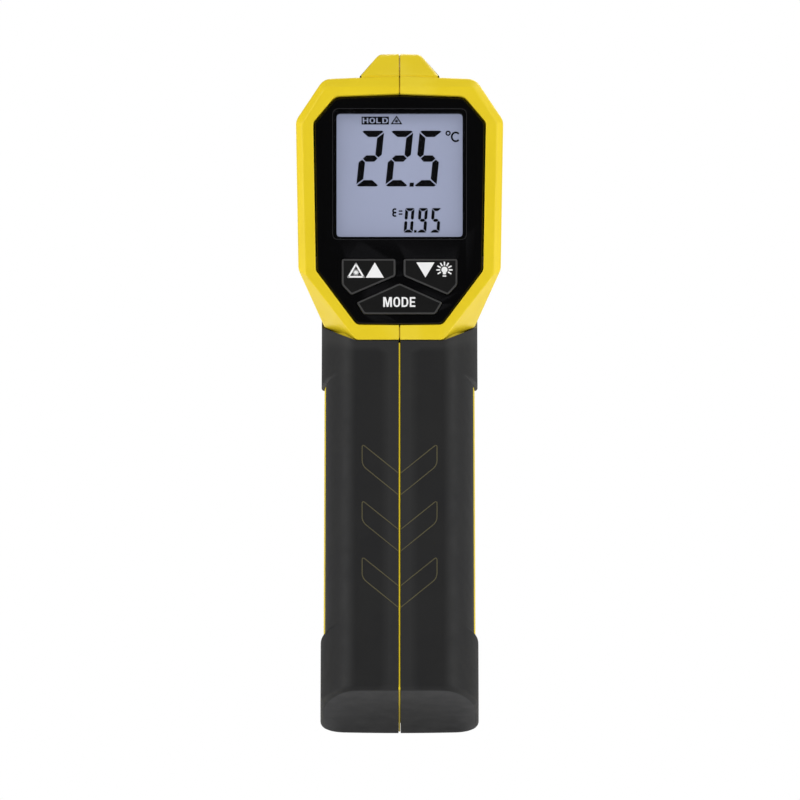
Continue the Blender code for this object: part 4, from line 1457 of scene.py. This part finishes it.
def make_nose():
    back = barrel_reach + gap
    front = barrel_reach + nose_length
    rings = [
        whole_ring(inset_half(front_corners, 4.2), front_radii, barrel_reach - 4.5),
        whole_ring(inset_half(front_corners, 2.3), front_radii, barrel_reach - 4.5),
        whole_ring(inset_half(front_corners, 2.3), front_radii, back),
        whole_ring(inset_half(front_corners, 0.1), front_radii, back),
        whole_ring(inset_half(front_corners, 0.6), front_radii, front - 2.2),
        whole_ring(inset_half(front_corners, 2.2), front_radii, front),
    ]
    like = rings[-1]
    rings.append(round_ring(funnel_mouth + 0.5, front, like))
    steps = 7
    for step in range(steps + 1):
        share = step / steps
        radius = funnel_mouth + (funnel_throat - funnel_mouth) * share
        reach = front - 0.5 - (nose_length - 2.0) * share
        rings.append(round_ring(radius, reach, like))
        if step < steps:
            rings.append(round_ring(radius - 0.12, reach - 0.9, like))
    rings.append(round_ring(funnel_throat, barrel_reach - 0.5, like))
    rings.append(round_ring(funnel_throat + 2.2, barrel_reach - 0.5, like))
    rings.append(round_ring(funnel_mouth + 1.0, front - 2.4, like))
    radii = [0.2, 0.2, 0.1, 0.2, 0.9, 0.5, 0.25] + [0.0] * (len(rings) - 7)
    columns = [
        soft_loop([ring[column] for ring in rings], radii, 3) for column in range(len(rings[0]))
    ]
    lofted = [[HEAD @ point for point in column] for column in columns]
    cap = loft("nose", lofted, "black", closed_ring=True)
    lobe_rings = []
    for distance, reach in ((0.1, back), (0.6, front - 2.2), (1.1, front - 1.0), (2.2, front)):
        corners = [(0, 64.15), (4.2, 64.05), (8.05, 58.75), (8.05, 55.75), (0, 55.75)]
        half = soft_run(inset_half(corners, distance), (1.0, 0.8, 0.4), 5, 2)
        ring = [Vector((point.x, reach, point.y)) for point in half]
        ring += [Vector((-point.x, point.y, point.z)) for point in reversed(ring[1:-1])]
        lobe_rings.append([HEAD @ point for point in ring])
    lobe = loft("lobe", lobe_rings, "black")
    along = HEAD @ Matrix.Translation((0, 0, laser_height)) @ FORWARDS
    for solid in (cap, lobe):
        mouth = [(2.1, 70), (2.1, back + 0.5), (1.8, back + 0.5), (1.8, front - 1.2), (2.6, front + 0.4)]
        cut(solid, turned("laser hole", mouth, along, "black", 40))
    nose = unite("nose_shell", polish(cap, smooth=30), polish(lobe, 0.2, 45, 3, 30))
    return place(nose, "root", "black_plastic", "nose_cap")


trigger_corners = (
    (37.6, 10.8), (43.6, 10.8), (48.3, 4.8), (48.7, 2.5), (47.3, -2.5), (45.3, -8.0), (43.9, -12.5),
    (43.6, -16.0), (44.2, -18.4), (43.2, -19.8), (33.0, -18.6), (34.6, -8.0), (37.2, 2.0),
)


def make_trigger():
    outline = soft_outline(trigger_corners, 0.75, 4)
    blade = slab("blade", outline, 6.9, -6.9, HEAD @ SIDEWAYS, "black", 1.3, 1.3, 5)
    room = block("spring room", (-3, 30, 6.5), (3, 44.5, 20), HEAD, "black")
    cut(blade, room)
    boss = []
    for side in (-1, 1):
        start, end = sorted((side * 3.0, side * 6.88))
        along = HEAD @ Matrix.Translation((0, *trigger_pivot)) @ SIDEWAYS
        tube = [(1.3, start), (3.2, start), (3.2, end), (1.3, end)]
        boss.append(turned("boss", tube, along, "black", 40, hollow=True))
    trigger = unite("trigger_blade", polish(blade, 0.15, 60, 2), *[polish(ring, 0.15, 60) for ring in boss])
    return place(trigger, "trigger", "black_plastic", "trigger")


def make_door():
    columns = steps_between(station_at_half(door_half), 4, 5) + steps_between(4, 5, 8) + [5.0]
    rows = steps_between(door_low + 2.6, door_top, 12) + [door_top]

    def wall(shrink, side):
        return lambda station, height: sided(
            section_point(station, height, shrink, 0.0, front_depth, 0.0), side
        )

    def everywhere(station, height):
        return True

    halves = []
    for side in (-1, 1):
        face, back = wall(0.0, side), wall(door_wall, side)
        halves.append(grid_shell("door", columns, rows, everywhere, face, back, "yellow"))
    door = unite("door leaf", *halves)
    seam = bmesh.new()
    seam.from_mesh(door.data)
    bmesh.ops.remove_doubles(seam, verts=seam.verts, dist=1e-6)
    centre_faces = [
        face for face in seam.faces if all(abs(vertex.co.x) < 1e-6 for vertex in face.verts)
    ]
    bmesh.ops.delete(seam, geom=centre_faces, context="FACES")
    bmesh.ops.recalc_face_normals(seam, faces=seam.faces)
    seam.to_mesh(door.data)
    seam.free()
    along = GRIP @ Matrix.Translation((0, *door_pivot)) @ SIDEWAYS
    sleeve = [(1.3, -10), (2.5, -10), (2.5, 10), (1.3, 10)]
    knuckle = turned("knuckle", sleeve, along, "yellow", 40, hollow=True)
    low_corner = (-10, front_depth - 2.6, door_low + 0.5)
    high_corner = (10, front_depth - 0.45, door_low + 3.2)
    web = block("web", low_corner, high_corner, GRIP, "yellow")
    ribs = []
    for number in range(5):
        height = 58.0 + number * 1.7
        rib = soft_outline(rectangle(5.0 - 0.55 * abs(number - 2), height - 0.35, height + 0.35), 0.34)
        flat = GRIP @ Matrix(((1, 0, 0, 0), (0, 0, 1, 0), (0, 1, 0, 0), (0, 0, 0, 1)))
        ribs.append(slab("rib", rib, front_depth + 0.35, front_depth - 1.0, flat, "yellow", 0.3))
    solids = [polish(door, 0.25, 60, 3), polish(knuckle, 0.2, 60), polish(web, 0.3, 60)]
    solids += [polish(rib) for rib in ribs]
    leaf = unite("door_leaf", *solids)
    return place(leaf, "battery_door", "yellow_shell", "battery_door")


def make_battery():
    back, depth, half = 14.5, 17.5, 13.25
    low, high = 19.5, 65.9
    outline = soft_outline(oblong(-half, half, back, back + depth), 2.4, 6)
    band_low = low + 31
    lower = slab("can", outline, band_low, low, GRIP, "jacket", 0.02, 0.9)
    upper = slab("shoulder", outline, high, band_low, GRIP, "band", 0.9, 0.02)
    middle = back + depth / 2
    studs = []
    for across, radius in ((-6.4, 2.9), (6.4, 3.9)):
        spot = GRIP @ Matrix.Translation((across, middle, 0))
        profile = [
            (radius, high - 0.5),
            (radius, high + 1.7),
            (radius - 0.4, high + 2.1),
            (radius - 1.4, high + 2.1),
            (radius - 1.6, high + 1.2),
        ]
        studs.append(polish(turned("stud", profile, spot, "steel", 32), smooth=30))
    battery = unite("battery_cell", polish(lower), polish(upper), *studs)
    return place(battery, "root", "battery_jacket", "battery")


def make_screws():
    """Six pan-head screws with crossed recesses, all driven in from the right."""
    tip, seat = -7.7, 5.3
    profile = [(0.3, tip - 0.1), (0.9, tip + 1.2)]
    for turn in range(14):
        height = tip + 1.6 + turn * 0.75
        profile += [(1.3, height), (1.02, height + 0.35)]
    profile += [(1.2, seat), (2.5, seat), (2.5, seat + 0.7)]
    for step in range(1, 6):
        turn = math.pi / 2 * step / 5
        profile.append((2.5 * math.cos(turn) + 0.02, seat + 0.7 + 1.0 * math.sin(turn)))
    screw = turned("screw", profile, SIDEWAYS, "steel", 32)
    for turn in (0, math.pi / 2):
        slot = SIDEWAYS @ Matrix.Rotation(turn, 4, "Z")
        cut(screw, block("recess", (-1.35, -0.28, seat + 0.8), (1.35, 0.28, seat + 3), slot, "steel"))
    polish(screw, smooth=30)
    places = [HEAD @ Vector((0, *centre)) for centre in head_screws]
    places += [GRIP @ Vector((0, *centre)) for centre in grip_screws]
    screws = copies_at("housing_screws", places, screw, "steel")
    return place(screws, "root", "steel", *[f"housing_screw_{number}" for number in range(1, 7)])


def dress_frame_nodes():
    """The pieces inside the housing keep the frame's shape and take a finish."""
    looks = {
        "lcd_glass": "display", "lcd_backlight": "diffuser", "lcd_frame": "diffuser",
        "lcd_connector_strip": "silicone", "keypad_mat": "silicone", "display_board": "board",
        "sensor_board": "board", "controller_chip": "black", "battery_snap": "black",
        "sensor_tube": "black", "lens_ring": "black", "trigger_switch": "black", "lens": "lens",
        "thermopile": "steel", "trigger_pin": "steel", "trigger_spring": "steel", "door_pin": "steel",
        "board_screw_1": "steel", "board_screw_2": "steel", "laser_module": "brass",
        "battery_lead_red": "red_lead", "laser_lead_red": "red_lead", "switch_lead_red": "red_lead",
        "battery_lead_black": "black_lead", "laser_lead_black": "black_lead",
        "switch_lead_black": "black_lead", "sensor_lead": "black_lead",
    }
    for node, look in looks.items():
        slots = frame["nodes"][node].data.materials
        for index in range(len(slots)):
            slots[index] = finishes[look].material


# Studio


def area_light(name, spot, aim, size, power):
    """A soft white lamp that faces the object."""
    light = bpy.data.lights.new(name, "AREA")
    light.shape = "RECTANGLE"
    light.size, light.size_y = size
    light.energy = power
    holder = bpy.data.objects.new(name, light)
    holder.location = spot
    holder.rotation_euler = (Vector(aim) - Vector(spot)).to_track_quat("-Z", "Y").to_euler()
    bpy.context.collection.objects.link(holder)


# Name, place, size and power of each lamp
lamps = (
    ("upper left", (-0.75, -0.6, 0.9), (0.6, 0.5), 3.5),
    ("upper right", (0.75, -0.6, 0.9), (0.6, 0.5), 3.5),
    ("left", (-0.95, -0.16, 0.2), (0.4, 0.9), 4.6),
    ("right", (0.95, -0.16, 0.2), (0.4, 0.9), 4.6),
    ("back", (0.3, 0.9, 0.7), (0.7, 0.5), 5.0),
)
floor_half = 3.0
frame_height = 0.188  # height that the camera takes in
camera_distance = 0.6  # behind the object's rear
camera_rise = 0.0786  # above the object's base


def plain_white(tree, strength):
    """A white background of one strength."""
    light = tree.nodes.new("ShaderNodeBackground")
    light.inputs["Strength"].default_value = strength
    light.inputs["Color"].default_value = (1, 1, 1, 1)
    return light.outputs[0]


def make_studio():
    low, high = cad_box
    middle = (low + high) / 2
    side = floor_half
    corners = [(-side, -side, 0), (side, -side, 0), (side, side, 0), (-side, side, 0)]
    mesh = bpy.data.meshes.new("floor")
    mesh.from_pydata([(x, y, low.z) for x, y, z in corners], [], [(0, 1, 2, 3)])
    floor = bpy.data.objects.new("floor", mesh)
    bpy.context.collection.objects.link(floor)
    paper = Finish("pale_floor")
    paper.set(Base_Color=(0.68, 0.68, 0.68, 1), Roughness=0.8)
    paper.set(Emission_Color=(1, 1, 1, 1), Emission_Strength=0.3)
    mesh.materials.append(paper.material)
    world = bpy.data.worlds.new("studio")
    bpy.context.scene.world = world
    world.use_nodes = True
    tree = world.node_tree
    background = tree.nodes["Background"]
    background.inputs["Color"].default_value = (1, 1, 1, 1)
    background.inputs["Strength"].default_value = 0.35
    seen_white = plain_white(tree, 1.0)
    mirrored_white = plain_white(tree, 0.05)
    path = tree.nodes.new("ShaderNodeLightPath")
    glossy = tree.nodes.new("ShaderNodeMixShader")
    seen = tree.nodes.new("ShaderNodeMixShader")
    link = tree.links.new
    link(path.outputs["Is Glossy Ray"], glossy.inputs[0])
    link(background.outputs[0], glossy.inputs[1])
    link(mirrored_white, glossy.inputs[2])
    link(path.outputs["Is Camera Ray"], seen.inputs[0])
    link(glossy.outputs[0], seen.inputs[1])
    link(seen_white, seen.inputs[2])
    link(seen.outputs[0], tree.nodes["World Output"].inputs[0])
    for name, spot, size, power in lamps:
        area_light(name, spot, middle, size, power)
    camera = bpy.data.cameras.new("camera")
    camera.type = "ORTHO"
    camera.ortho_scale = frame_height
    camera.clip_end = 10
    holder = bpy.data.objects.new("camera", camera)
    holder.location = (0.0001, low.y - camera_distance, low.z + camera_rise)
    holder.rotation_euler = (math.pi / 2, 0, 0)
    bpy.context.collection.objects.link(holder)
    bpy.context.scene.camera = holder
    bpy.context.scene.view_settings.view_transform = "Standard"


def main():
    for side in (-1, 1):
        make_housing(side)
        make_grip_cover(side)
        make_chevrons(side)
    make_panel()
    for name in key_shapes:
        make_key(name)
    make_key_marks()
    make_readings()
    make_nose()
    make_trigger()
    make_door()
    make_battery()
    make_screws()
    dress_frame_nodes()
    make_studio()


main()
